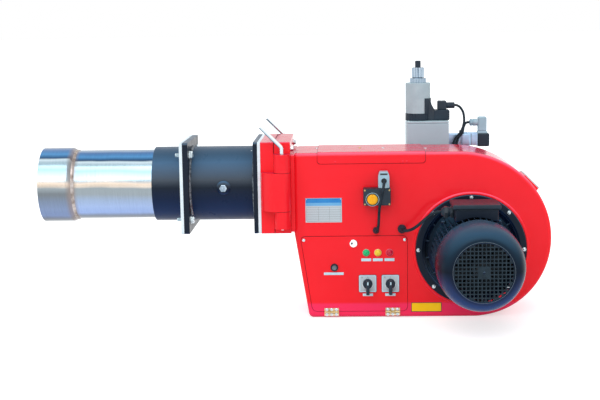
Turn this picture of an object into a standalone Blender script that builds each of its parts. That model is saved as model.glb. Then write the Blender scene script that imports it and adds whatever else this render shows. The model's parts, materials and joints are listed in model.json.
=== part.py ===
"""Industrial gas burner with a swing-open fan casing, as separate pieces.

Metres, +Z up. The origin is on the flame tube's axis at the face that meets the boiler.
+X runs from the flame towards the fan, and -Y is the side with the motor and the controls.
"""

import math

import bmesh
import bpy
from mathutils import Matrix, Vector

# Clearances
GAP = 0.0003  # between pieces that touch
RUN = 0.0005  # round a pin, a shaft or a sliding piece
MERGE = 0.000001

# Burner head
TUBE_RADIUS = 0.0921
TUBE_WALL = 0.002
SLEEVE_RADIUS = TUBE_RADIUS + 0.0073
SLEEVE_WALL = 0.004
SLEEVE_START = -0.078
COLLAR_LENGTH = 0.020
FLANGE_SIDE = 2 * SLEEVE_RADIUS + 0.0412
FLANGE_CORNER = 0.006
BOLT_PITCH = FLANGE_SIDE - 0.070
BOLT_RADIUS = 0.0058
BOLT_HOLE = 0.0068
GASKET_THICKNESS = 0.008
FLANGE_THICKNESS = 0.014
NOZZLE_RADIUS = TUBE_RADIUS + 0.0072
NOZZLE_MOUTH = -0.381
NOZZLE_STEP = -0.302
NOZZLE_END = -0.286
TEST_PLUG_X = 0.112
TEST_BOSS_RADIUS = 0.012
TEST_BOSS_HEIGHT = 0.007

# Swing hinge
HINGE_FLANGE_X = 0.192
HINGE_FLANGE_THICKNESS = 0.011
HINGE_GASKET_THICKNESS = 0.008
FRAME_SEAM_X = 0.2463
FRAME_END_X = 0.289
FRAME_OPENING = 0.160
FRAME_FILLET = 0.004
PIN_X = 0.268
PIN_Y = FLANGE_SIDE / 2 + 0.024
PIN_RADIUS = 0.005
PIN_LIFT = 0.200
KNUCKLE_RADIUS = 0.022
KNUCKLE_LEVELS = (-0.102, -0.0565, 0.043, 0.091)
PIN_BOTTOM = -0.106
PIN_BEND = 0.103
PIN_HANDLE = 0.071
PIN_BEND_RADIUS = 0.012

# Combustion head inside the tube
LANCE_RADIUS = 0.024
LANCE_WALL = 0.003
LANCE_TIP = -0.322
DIFFUSER_X = -0.296
DIFFUSER_RADIUS = 0.076
ELECTRODE_OFFSET = 0.044
ELECTRODE_RADIUS = 0.006

# Fan casing
CASING_DEPTH = 0.200
CASING_WALL = 0.004
CASING_FILLET = 0.011
CASING_LEFT = 0.295
CASING_LEFT_FOOT = 0.3324
CASING_TOP = 0.088
CASING_STEP = -0.121
CASING_BOTTOM = -0.351
MOTOR_X = 0.758
MOTOR_Z = -0.1696
SCROLL_END = 97.5
SCROLL_POWER = 1.4
TONGUE_ANGLE = -200
TONGUE_RADIUS = 0.148
PLATE_RADIUS = 0.1445
MOTOR_OPENING = PLATE_RADIUS - 0.0135
MOTOR_LIP = PLATE_RADIUS + 0.0065
MOTOR_LIP_HEIGHT = 0.004
INTAKE_RADIUS = 0.085
INTAKE_CONE_RADIUS = 0.079
LID_LEFT = 0.3586
LID_RIGHT = 0.6388
LID_THICKNESS = 0.0015
LID_FLAP = 0.060
LID_REAR_FLAP = 0.0768
LID_CORNER = 0.012
RIM_BOX_ANGLE = 45
RIM_BOX_SIZE = (0.020, 0.090, 0.052)

# Motor and fan
PLATE_THICKNESS = 0.0062
PLATE_DISH = 0.014
DISH_WALL = 0.005
SHAFT_RADIUS = 0.014
COWL_RADIUS = 0.1088
COWL_WALL = 0.0015
COWL_SIDES = 32
COWL_START = 0.183
COWL_SHOULDER = 0.232
COWL_END = 0.301
GRILLE_RADIUS = 0.0735
GRILLE_PITCH = 0.0096
GRILLE_HOLE = 0.0068
GRILLE_HUB = 0.019
FIN_COUNT = 32
FIN_ROOT = 0.091
MOTOR_END = 0.192
BOX_WIDTH = 0.108
BOX_START, BOX_END = 0.044, 0.136
LID_OVERHANG = 0.006
BOX_LID_TOP = -0.031
BOX_LID_THICKNESS = 0.012
MOTOR_GLAND_RADIUS = 0.016
WHEEL_RADIUS = 0.125
WHEEL_WIDTH = 0.096
WHEEL_BACK = -0.074
BLADE_COUNT = 22
COOLING_BLADES = 8

# Control panel
DOOR_CORNERS = ((0.312, -0.132), (0.5914, -0.132), (0.5914, -0.333), (0.3415, -0.333))
DOOR_THICKNESS = 0.0015
DOOR_CORNER = 0.014
DOOR_OVERLAP = 0.012
DOOR_AXIS_Z = -0.335
LEAF_THICKNESS = 0.0016
LEAF_LENGTH = 0.0382
LEAF_HEIGHT = 0.0105
BARREL_RADIUS = 0.0026
HINGE_PIN_RADIUS = 0.001
LEAF_CENTRES = (0.3914, 0.5528)
LOCK_AT = (0.4507, -0.1509)
LOCK_RADIUS = 0.011
LOCK_BARREL = 0.006
LAMP_Z = -0.1758
LAMP_XS = (0.4838, 0.5143, 0.5447)
LAMP_RADIUS = 0.0088
RESET_AT = (0.3998, -0.2148)
RESET_RADIUS = 0.0062
RESET_TRAVEL = 0.003
SWITCH_CENTRES = (0.487, 0.5468)
SWITCH_Z = -0.2585
SWITCH_PLATE = 0.0453
SWITCH_PLATE_THICKNESS = 0.0035
KNOB_RADIUS = 0.013

# Air pressure switch on the casing
PRESSURE_SWITCH = ((0.477, -0.137, -0.0468), (0.548, -0.1003, -0.002))
DIAL_AT = (0.5004, -0.0299)
DIAL_RADIUS = 0.0135
PLUG_LEFT, PLUG_RIGHT, PLUG_TOP = 0.5157, 0.5447, 0.0414
PLUG_FRONT = 0.033
SWITCH_GLAND = (0.5098, -0.1163)
CASING_GLAND = (0.5776, -0.1130)
SWITCH_CABLE_RADIUS = 0.003
MOTOR_CABLE_RADIUS = 0.004

# Air intake behind the casing
BOX_INTAKE_WIDTH = 0.200
BOX_INTAKE_DEPTH = 0.090
BOX_INTAKE_TOP = -0.066
BOX_INTAKE_BOTTOM = -0.306
INTAKE_WALL = 0.0025
DAMPER_Z = -0.262
DAMPER_THICKNESS = 0.002
DAMPER_SHAFT = 0.004

# Gas line behind the casing
VALVE_Y = 0.158
VALVE_LEFT, VALVE_RIGHT = 0.603, 0.718
VALVE_DEPTH = 0.100
VALVE_TOP = 0.150
VALVE_BOTTOM = -0.002
PIPE_Z = 0.040
PIPE_RADIUS = 0.030
ELBOW_X = 0.445
ELBOW_BEND = 0.050
PIPE_FLANGE = 0.068
FLANGE_PLATE = 0.010
GAS_BORE = 0.022
COIL_X = VALVE_LEFT + 0.0328
COIL_RADIUS = 0.0345
COIL_RING_TOP = 0.1697
COIL_TOP = 0.254
NECK_RADIUS = 0.023
NECK_TOP = 0.2675
ADJUSTER_RADIUS = 0.0172
ADJUSTER_TOP = 0.2965
CAP_RADIUS = 0.0079
CAP_TOP = 0.315

FACE = CASING_DEPTH / 2
SCROLL_START = MOTOR_Z - CASING_BOTTOM
SCROLL_TURN = (SCROLL_END + 90) / 180
SCROLL_GROWTH = (
    (CASING_TOP - MOTOR_Z) / math.sin(math.radians(SCROLL_END)) - SCROLL_START
) / SCROLL_TURN**SCROLL_POWER
DUCT_FLOOR = MOTOR_Z + TONGUE_RADIUS * math.sin(math.radians(TONGUE_ANGLE))
DOOR_BACK = FACE + GAP
DOOR_FRONT = DOOR_BACK + DOOR_THICKNESS
DOOR_AXIS_Y = DOOR_FRONT + GAP + BARREL_RADIUS

# World directions of a piece's own axes: x piece along world y and z, facing x, and so on
FACING = {
    "x": Matrix(((0, 0, 1), (1, 0, 0), (0, 1, 0))),
    "y": Matrix(((1, 0, 0), (0, 0, -1), (0, 1, 0))),
    "z": Matrix.Identity(3),
}


def clear_scene():
    for old in list(bpy.data.objects):
        bpy.data.objects.remove(old)


def new_collection(name):
    collection = bpy.data.collections.new(name)
    bpy.context.scene.collection.children.link(collection)
    return collection


clear_scene()
PARTS = new_collection("gas_burner")
CUTTERS = new_collection("cutters")


# Finishes


def finish(name, colour, roughness, metallic=0.0):
    material = bpy.data.materials.new(name)
    material.use_nodes = True
    shader = material.node_tree.nodes["Principled BSDF"]
    shader.inputs["Base Color"].default_value = (*colour, 1)
    shader.inputs["Roughness"].default_value = roughness
    shader.inputs["Metallic"].default_value = metallic
    material.diffuse_color = (*colour, 1)
    return material


RED_PAINT = finish("red_paint", (0.86, 0.03, 0.04), 0.25)
BLACK_PAINT = finish("black_paint", (0.02, 0.025, 0.035), 0.45)
BLACK_PLASTIC = finish("black_plastic", (0.02, 0.02, 0.025), 0.5)
STAINLESS = finish("stainless", (0.72, 0.72, 0.74), 0.15, 1.0)
ZINC = finish("zinc", (0.75, 0.77, 0.8), 0.3, 1.0)
GASKET = finish("gasket", (0.88, 0.88, 0.86), 0.8)
BRASS = finish("brass", (0.8, 0.62, 0.25), 0.3, 1.0)
VALVE_GREY = finish("valve_grey", (0.55, 0.58, 0.58), 0.45)
DIE_CAST = finish("die_cast", (0.7, 0.68, 0.72), 0.35, 1.0)
PLUG_GREY = finish("plug_grey", (0.6, 0.65, 0.67), 0.5)
DIAL_YELLOW = finish("dial_yellow", (0.95, 0.6, 0.05), 0.4)
LAMP_GREEN = finish("lamp_green", (0.05, 0.5, 0.15), 0.2)
LAMP_YELLOW = finish("lamp_yellow", (0.9, 0.6, 0.05), 0.2)
LAMP_RED = finish("lamp_red", (0.7, 0.03, 0.05), 0.2)
CERAMIC = finish("ceramic", (0.9, 0.88, 0.82), 0.35)
CABLE = finish("cable", (0.03, 0.035, 0.04), 0.5)


# Building tools


def add_object(name, mesh, material, collection=PARTS):
    solid = bpy.data.objects.new(name, mesh)
    solid.data.materials.append(material)
    collection.objects.link(solid)
    return solid


def shaded(solid, angle=40):
    solid.data.shade_smooth()
    solid.data.set_sharp_from_angle(angle=math.radians(angle))
    return solid


def as_mesh(curve, name, material, whole=False):
    """The curve as a closed mesh with its caps welded, and with each flat face in one piece."""
    graph = bpy.context.evaluated_depsgraph_get()
    mesh = bpy.data.meshes.new_from_object(curve.evaluated_get(graph))
    work = bmesh.new()
    work.from_mesh(mesh)
    bmesh.ops.remove_doubles(work, verts=work.verts, dist=MERGE)
    if whole:
        bmesh.ops.dissolve_limit(
            work, angle_limit=math.radians(0.3), verts=work.verts, edges=work.edges
        )
    work.to_mesh(mesh)
    work.free()
    mesh.materials.clear()
    solid = add_object(name, mesh, material)
    solid.matrix_world = curve.matrix_world
    bpy.data.objects.remove(curve)
    return shaded(solid)


def new_spline(data, points, cyclic):
    spline = data.splines.new("POLY")
    spline.points.add(len(points) - 1)
    for point, place in zip(spline.points, points):
        point.co = (*place, 0, 1) if len(place) == 2 else (*place, 1)
    spline.use_cyclic_u = cyclic


def outline(name, material, facing, low, high, *loops):
    """A flat plate from low to high along the world axis it faces. Later loops are holes."""
    data = bpy.data.curves.new(name + "_outline", "CURVE")
    data.dimensions = "2D"
    data.fill_mode = "BOTH"
    data.extrude = (high - low) / 2
    for loop in loops:
        new_spline(data, loop, True)
    curve = bpy.data.objects.new(name + "_outline", data)
    PARTS.objects.link(curve)
    turn = FACING[facing].to_4x4()
    middle = {"x": (1, 0, 0), "y": (0, 1, 0), "z": (0, 0, 1)}[facing]
    curve.matrix_world = (
        Matrix.Translation(Vector(middle) * (low + high) / 2) @ turn
    )
    return as_mesh(curve, name, material, whole=len(loops) == 1)


def tube(name, material, points, radius, resolution=2):
    """A round bar or cable along a list of points."""
    data = bpy.data.curves.new(name + "_route", "CURVE")
    data.dimensions = "3D"
    data.bevel_depth = radius
    data.bevel_resolution = resolution
    data.use_fill_caps = True
    new_spline(data, points, False)
    curve = bpy.data.objects.new(name + "_route", data)
    PARTS.objects.link(curve)
    return as_mesh(curve, name, material)


def turned(name, material, facing, profile, steps=32, at=(0, 0, 0), closed=True):
    """A turned piece. The profile holds (radius, distance along the axis) points."""
    mesh = bpy.data.meshes.new(name)
    places = [(radius, 0, along) for radius, along in profile]
    edges = [(i, i + 1) for i in range(len(places) - 1)]
    if closed:
        edges.append((len(places) - 1, 0))
    mesh.from_pydata(places, edges, [])
    solid = add_object(name, mesh, material)
    solid.matrix_world = Matrix.Translation(at) @ FACING[facing].to_4x4()
    screw = solid.modifiers.new("turn", "SCREW")
    screw.axis = "Z"
    screw.angle = math.tau
    screw.steps = screw.render_steps = steps
    screw.use_merge_vertices = True
    screw.merge_threshold = 0.00001
    screw.use_smooth_shade = True
    return solid


def rod(name, material, facing, radius, low, high, at=(0, 0), sides=24, turn=0):
    """A cylinder along a world axis, placed by the two other world coordinates."""
    work = bmesh.new()
    bmesh.ops.create_cone(
        work,
        cap_ends=True,
        segments=sides,
        radius1=radius,
        radius2=radius,
        depth=high - low,
        matrix=Matrix.Rotation(math.radians(turn), 4, "Z"),
    )
    mesh = bpy.data.meshes.new(name)
    work.to_mesh(mesh)
    work.free()
    solid = add_object(name, mesh, material)
    middle = (low + high) / 2
    place = {"x": (middle, *at), "y": (at[0], middle, at[1]), "z": (*at, middle)}[facing]
    solid.matrix_world = Matrix.Translation(place) @ FACING[facing].to_4x4()
    return shaded(solid)


def box(name, material, low, high, fillet=0.0, segments=2):
    work = bmesh.new()
    bmesh.ops.create_cube(work, size=1)
    size = [b - a for a, b in zip(low, high)]
    bmesh.ops.scale(work, vec=size, verts=work.verts)
    mesh = bpy.data.meshes.new(name)
    work.to_mesh(mesh)
    work.free()
    solid = add_object(name, mesh, material)
    solid.location = [(a + b) / 2 for a, b in zip(low, high)]
    if fillet:
        bevel(solid, fillet, segments)
    return solid


def bevel(solid, width, segments=2, angle=30):
    rounding = solid.modifiers.new("rounding", "BEVEL")
    rounding.width = width
    rounding.segments = segments
    rounding.limit_method = "ANGLE"
    rounding.angle_limit = math.radians(angle)
    return solid


def set_aside(solid):
    for collection in list(solid.users_collection):
        collection.objects.unlink(solid)
    CUTTERS.objects.link(solid)
    solid.hide_render = True
    solid.display_type = "WIRE"


def boolean(solid, operation, others):
    for other in others:
        step = solid.modifiers.new(f"{operation.lower()} {other.name}", "BOOLEAN")
        step.operation = operation
        step.solver = "EXACT"
        step.object = other
        set_aside(other)
    return solid


def cut(solid, *others):
    return boolean(solid, "DIFFERENCE", others)


def join(solid, *others):
    return boolean(solid, "UNION", others)


def circle(radius, centre=(0, 0), count=32, start=0.0):
    return [
        (
            centre[0] + radius * math.cos(math.radians(start) + math.tau * i / count),
            centre[1] + radius * math.sin(math.radians(start) + math.tau * i / count),
        )
        for i in range(count)
    ]


def arc(centre, radius, start, end, count):
    """Points from one angle to another, in degrees."""
    angles = [math.radians(start + (end - start) * i / count) for i in range(count + 1)]
    return [
        (centre[0] + radius * math.cos(a), centre[1] + radius * math.sin(a)) for a in angles
    ]


def rounded(points, radius, steps=3):
    """A polygon with each corner replaced by an arc."""
    smooth = []
    for i, corner in enumerate(points):
        here = Vector(corner)
        back = (Vector(points[i - 1]) - here).normalized()
        ahead = (Vector(points[(i + 1) % len(points)]) - here).normalized()
        half = back.angle(ahead) / 2
        centre = here + (back + ahead).normalized() * radius / math.sin(half)
        first = here + back * radius / math.tan(half) - centre
        last = here + ahead * radius / math.tan(half) - centre
        sweep = first.angle_signed(last)
        for k in range(steps + 1):
            turn = Matrix.Rotation(-sweep * k / steps, 2)
            smooth.append(tuple(centre + turn @ first))
    return smooth


def rectangle(width, height, centre=(0, 0)):
    return [
        (centre[0] + sx * width / 2, centre[1] + sy * height / 2)
        for sx, sy in ((-1, -1), (1, -1), (1, 1), (-1, 1))
    ]


def smooth_route(points, spacing, lead=0.003):
    """Evenly spaced points on a smooth curve through the route's own points.

    A point close to each end keeps the end faces square to the route.
    """
    knots = [Vector(p) for p in points]
    knots = [2 * knots[0] - knots[1], *knots, 2 * knots[-1] - knots[-2]]
    dense = []
    for a, b, c, d in zip(knots, knots[1:], knots[2:], knots[3:]):
        for i in range(16):
            t = i / 16
            dense.append(
                0.5
                * (
                    2 * b
                    + (c - a) * t
                    + (2 * a - 5 * b + 4 * c - d) * t**2
                    + (3 * b - a - 3 * c + d) * t**3
                )
            )
    dense.append(knots[-2])
    length = sum((q - p).length for p, q in zip(dense, dense[1:]))
    count = max(2, round(length / spacing))
    route, walked, target = [dense[0]], 0.0, length / count
    for p, q in zip(dense, dense[1:]):
        step = (q - p).length
        while walked + step >= target - 1e-9 and len(route) < count:
            route.append(p.lerp(q, (target - walked) / step))
            target += length / count
        walked += step
    first = dense[0] + (dense[1] - dense[0]).normalized() * lead
    last = dense[-1] + (dense[-2] - dense[-1]).normalized() * lead
    return [route[0], first, *route[1:], last, dense[-1]]


def axis_mark(name, place):
    """An empty on a joint's axis, which carries the pieces that turn or slide there."""
    mark = bpy.data.objects.new(name, None)
    mark.empty_display_size = 0.03
    mark.location = place
    PARTS.objects.link(mark)
    return mark


def carry(mark, *solids):
    for solid in solids:
        solid.parent = mark
        solid.matrix_parent_inverse = Matrix.Translation(-mark.location)


# Burner head: nozzle, tube, sleeve and flanges


def flange_plate(name, material, low, high, hole, bolt_holes=True):
    corners = rounded(rectangle(FLANGE_SIDE, FLANGE_SIDE), FLANGE_CORNER, 2)
    loops = [corners, hole]
    if bolt_holes:
        half = BOLT_PITCH / 2
        loops += [circle(BOLT_HOLE, (y, z), 8) for y in (-half, half) for z in (-half, half)]
    return outline(name, material, "x", low, high, *loops)


def make_nozzle():
    inner = NOZZLE_RADIUS - TUBE_WALL
    lip = 0.0012
    turned(
        "flame_nozzle",
        STAINLESS,
        "x",
        [
            (TUBE_RADIUS, NOZZLE_END),
            (TUBE_RADIUS + 0.0018, NOZZLE_END - 0.002),
            (TUBE_RADIUS + 0.0014, NOZZLE_END - 0.0055),
            (NOZZLE_RADIUS - 0.0025, NOZZLE_STEP + 0.005),
            (NOZZLE_RADIUS, NOZZLE_STEP),
            (NOZZLE_RADIUS, NOZZLE_MOUTH + lip),
            (NOZZLE_RADIUS - lip, NOZZLE_MOUTH),
            (inner, NOZZLE_MOUTH),
            (inner, NOZZLE_STEP),
            (TUBE_RADIUS - TUBE_WALL, NOZZLE_END - 0.004),
            (TUBE_RADIUS - TUBE_WALL, NOZZLE_END),
        ],
    )


def make_tube():
    inner = TUBE_RADIUS - TUBE_WALL
    end = SLEEVE_START + COLLAR_LENGTH
    turned(
        "flame_tube",
        STAINLESS,
        "x",
        [
            (TUBE_RADIUS, end),
            (TUBE_RADIUS, NOZZLE_END + GAP),
            (inner, NOZZLE_END + GAP),
            (inner, end),
        ],
    )


def make_sleeve():
    inner = SLEEVE_RADIUS - SLEEVE_WALL
    end = HINGE_FLANGE_X - GAP
    collar_end = SLEEVE_START + COLLAR_LENGTH
    sleeve = turned(
        "head_sleeve",
        BLACK_PAINT,
        "x",
        [
            (SLEEVE_RADIUS, end),
            (SLEEVE_RADIUS, SLEEVE_START),
            (TUBE_RADIUS + GAP, SLEEVE_START),
            (TUBE_RADIUS + GAP, collar_end),
            (inner, collar_end + 0.004),
            (inner, end),
        ],
    )
    top = SLEEVE_RADIUS + TEST_BOSS_HEIGHT
    root = SLEEVE_RADIUS - SLEEVE_WALL / 2
    round_boss = circle(TEST_BOSS_RADIUS, (TEST_PLUG_X, 0), 16, 11.25)
    boss = outline("test_boss", BLACK_PAINT, "y", -top, -root, round_boss)
    join(sleeve, boss)
    flats = circle(TEST_BOSS_RADIUS * 0.85, (TEST_PLUG_X, 0), 6)
    outline("test_plug", ZINC, "y", -top - 0.008, -top - GAP, flats)


def make_flanges():
    hole = circle(SLEEVE_RADIUS + GAP)
    flange_start = GASKET_THICKNESS + GAP
    flange_end = flange_start + FLANGE_THICKNESS
    flange_plate("boiler_gasket", GASKET, 0, GASKET_THICKNESS, hole)
    flange_plate("boiler_flange", BLACK_PAINT, flange_start, flange_end, hole)
    head, washer, tip = 0.0075, 0.0018, -0.0145
    half = BOLT_PITCH / 2
    places = [(y, z) for y in (-half, half) for z in (-half, half)]
    for number, place in enumerate(places, 1):
        seat = flange_end + GAP
        bolt = rod(f"flange_bolt_{number}", ZINC, "x", BOLT_RADIUS, tip, seat + 0.001, place, 12)
        disc = rod(f"washer_{number}", ZINC, "x", BOLT_RADIUS * 2, seat, seat + washer, place, 16)
        top = seat + washer + head
        hexagon = circle(BOLT_RADIUS * 1.85, place, 6, 15 * number)
        join(bolt, disc, outline(f"head_{number}", ZINC, "x", seat + washer / 2, top, hexagon))


def make_hinge_flange():
    opening = rounded(rectangle(FRAME_OPENING, FRAME_OPENING), 0.020, 3)
    start = HINGE_FLANGE_X + HINGE_FLANGE_THICKNESS + GAP
    flange_plate(
        "hinge_flange", BLACK_PAINT, HINGE_FLANGE_X, start - GAP, opening, bolt_holes=False
    )
    flange_plate(
        "hinge_gasket", GASKET, start, start + HINGE_GASKET_THICKNESS, opening, bolt_holes=False
    )
    return start + HINGE_GASKET_THICKNESS + GAP


# Swing hinge: two frames on two pins


def frame_ring(name, low, high):
    ring = outline(
        name,
        RED_PAINT,
        "x",
        low,
        high,
        rounded(rectangle(FLANGE_SIDE, FLANGE_SIDE), FRAME_FILLET, 2),
        rounded(rectangle(FRAME_OPENING, FRAME_OPENING), 0.020, 3),
    )
    return ring


def make_hinge_frame(start):
    """The fixed frame, with a middle knuckle at the front and at the rear."""
    frame = frame_ring("hinge_frame", start, FRAME_SEAM_X - GAP)
    root = FLANGE_SIDE / 2 - 0.004
    bottom, top = KNUCKLE_LEVELS[1] + RUN, KNUCKLE_LEVELS[2]
    for side, name in ((-1, "front"), (1, "rear")):
        plan = [
            (start + 0.002, side * root),
            (start + 0.002, side * (root + 0.034)),
            (start + 0.012, side * (PIN_Y + KNUCKLE_RADIUS)),
            *arc((PIN_X, side * PIN_Y), KNUCKLE_RADIUS, side * 90, side * -90, 10),
            (FRAME_SEAM_X - 2 * GAP, side * (PIN_Y - KNUCKLE_RADIUS)),
            (FRAME_SEAM_X - 2 * GAP, side * root),
        ]
        bore = circle(PIN_RADIUS + RUN, (PIN_X, side * PIN_Y), 16)
        join(frame, outline(f"{name}_middle_knuckle", RED_PAINT, "z", bottom, top, plan, bore))
    return frame


def make_swing_frame():
    """The moving frame. Its rear knuckles are open towards the pin's way out."""
    frame = frame_ring("swing_frame", FRAME_SEAM_X + GAP, FRAME_END_X)
    root = FLANGE_SIDE / 2 - 0.004
    low, low_top, high_bottom, high = KNUCKLE_LEVELS
    left = FRAME_SEAM_X + 2 * GAP
    right = 2 * PIN_X - left
    slot_half = PIN_RADIUS + RUN + 0.0013
    for side, name in ((-1, "front"), (1, "rear")):
        middle = (PIN_X, side * PIN_Y)
        plan = [
            (left, side * root),
            *arc(middle, PIN_X - left, side * 180, side * 90, 5),
            *arc(middle, right - PIN_X, side * 90, 0, 5),
            (right, side * root),
        ]
        bore = circle(PIN_RADIUS + RUN, middle, 16)
        if side == 1:
            slot = [(left - 0.001, PIN_Y + slot_half), (left - 0.001, PIN_Y - slot_half)]
            bore = arc(middle, slot_half, -90, 90, 8)
            slot_loop = [*slot, *bore]
        for level, (a, b) in enumerate(((low, low_top - RUN / 2), (high_bottom + RUN, high))):
            loops = [plan, bore] if side == -1 else [plan]
            knuckle = outline(f"{name}_knuckle_{level}", RED_PAINT, "z", a, b, *loops)
            if side == 1:
                cutter = outline(
                    f"rear_slot_{level}", RED_PAINT, "z", a - 0.002, b + 0.002, slot_loop
                )
                cut(knuckle, cutter)
            join(frame, knuckle)
    return frame


def make_pins():
    """Each pin bends over at the top into a handle that slopes back towards the flame."""
    for side, name in ((-1, "front"), (1, "rear")):
        centre = PIN_X - PIN_BEND_RADIUS
        bend = arc((centre, PIN_BEND), PIN_BEND_RADIUS, 0, 45, 4)
        tip_x = bend[-1][0] - PIN_HANDLE * math.cos(math.radians(45))
        tip_z = bend[-1][1] + PIN_HANDLE * math.sin(math.radians(45))
        places = [(PIN_X, PIN_BOTTOM), *bend, (tip_x, tip_z)]
        route = [(x, side * PIN_Y, z) for x, z in places]
        pin = tube(f"hinge_pin_{name}", ZINC, route, PIN_RADIUS, 2)
        carry(axis_mark(f"{name}_pin_axis", (PIN_X, side * PIN_Y, 0)), pin)


# Combustion head: gas lance, flame disc and electrode


def make_lance():
    inner = LANCE_RADIUS - LANCE_WALL
    end = FRAME_SEAM_X + GAP
    lance = turned(
        "gas_lance",
        STAINLESS,
        "x",
        [
            (0, end),
            (LANCE_RADIUS, end),
            (LANCE_RADIUS, LANCE_TIP + 0.004),
            (LANCE_RADIUS - 0.004, LANCE_TIP),
            (0, LANCE_TIP),
        ],
        20,
        closed=False,
    )
    reach = FRAME_OPENING / 2 - GAP
    bar = 0.006
    place, thick = 0.228, 0.008
    low, high = place - thick / 2, place + thick / 2
    upright = box("bracket_upright", STAINLESS, (low, -bar, -reach), (high, bar, reach))
    cross = box("bracket_cross", STAINLESS, (low, -reach, -bar), (high, reach, bar))
    bore = rod("lance_bore", STAINLESS, "x", inner, LANCE_TIP + LANCE_WALL, end + 0.01, turn=4)
    join(lance, upright, cross)
    cut(lance, bore)


def make_diffuser():
    slots = []
    for i in range(8):
        angle = math.radians(22.5 + 45 * i)
        across = Vector((-math.sin(angle), math.cos(angle)))
        out = Vector((math.cos(angle), math.sin(angle)))
        near, far, half = 0.034, 0.066, 0.004
        slots.append(
            [
                tuple(out * r + across * w)
                for r, w in ((near, -half), (far, -half), (far, half), (near, half))
            ]
        )
    holes = [circle(LANCE_RADIUS + GAP, (0, 0), 24)]
    holes.append(circle(ELECTRODE_RADIUS + GAP, (0, ELECTRODE_OFFSET), 12))
    disc = outline(
        "diffuser_disc",
        STAINLESS,
        "x",
        DIFFUSER_X,
        DIFFUSER_X + 0.003,
        circle(DIFFUSER_RADIUS, (0, 0), 32),
        *holes,
        *[slot for i, slot in enumerate(slots) if i not in (1, 2)],
    )
    return disc


def make_electrode():
    route = [
        (-0.150, 0, ELECTRODE_OFFSET),
        (DIFFUSER_X - 0.014, 0, ELECTRODE_OFFSET),
    ]
    electrode = tube("ignition_electrode", CERAMIC, route, ELECTRODE_RADIUS, 2)
    wire = [
        (DIFFUSER_X - 0.010, 0, ELECTRODE_OFFSET),
        (DIFFUSER_X - 0.024, 0, ELECTRODE_OFFSET),
        (DIFFUSER_X - 0.034, 0, ELECTRODE_OFFSET - 0.012),
    ]
    join(electrode, tube("electrode_tip", CERAMIC, wire, 0.0015, 1))


# Fan casing


def scroll_radius(angle):
    """Outer radius of the casing about the motor axis, growing from the bottom to the top."""
    return SCROLL_START + SCROLL_GROWTH * ((angle + 90) / 180) ** SCROLL_POWER


def duct_radius(angle):
    """Radius of the scroll wall inside the casing, from the bottom back to the tongue."""
    along = (angle + 90) / (TONGUE_ANGLE + 90)
    start = SCROLL_START - CASING_WALL
    return start + (TONGUE_RADIUS - start) * along


def polar(radius, angle):
    turn = math.radians(angle)
    return (MOTOR_X + radius * math.cos(turn), MOTOR_Z + radius * math.sin(turn))


def casing_outline(inset=0.0, steps=20):
    angles = [-90 + (SCROLL_END + 90) * i / steps for i in range(steps + 1)]
    return [polar(scroll_radius(a) - inset, a) for a in angles]


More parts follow.
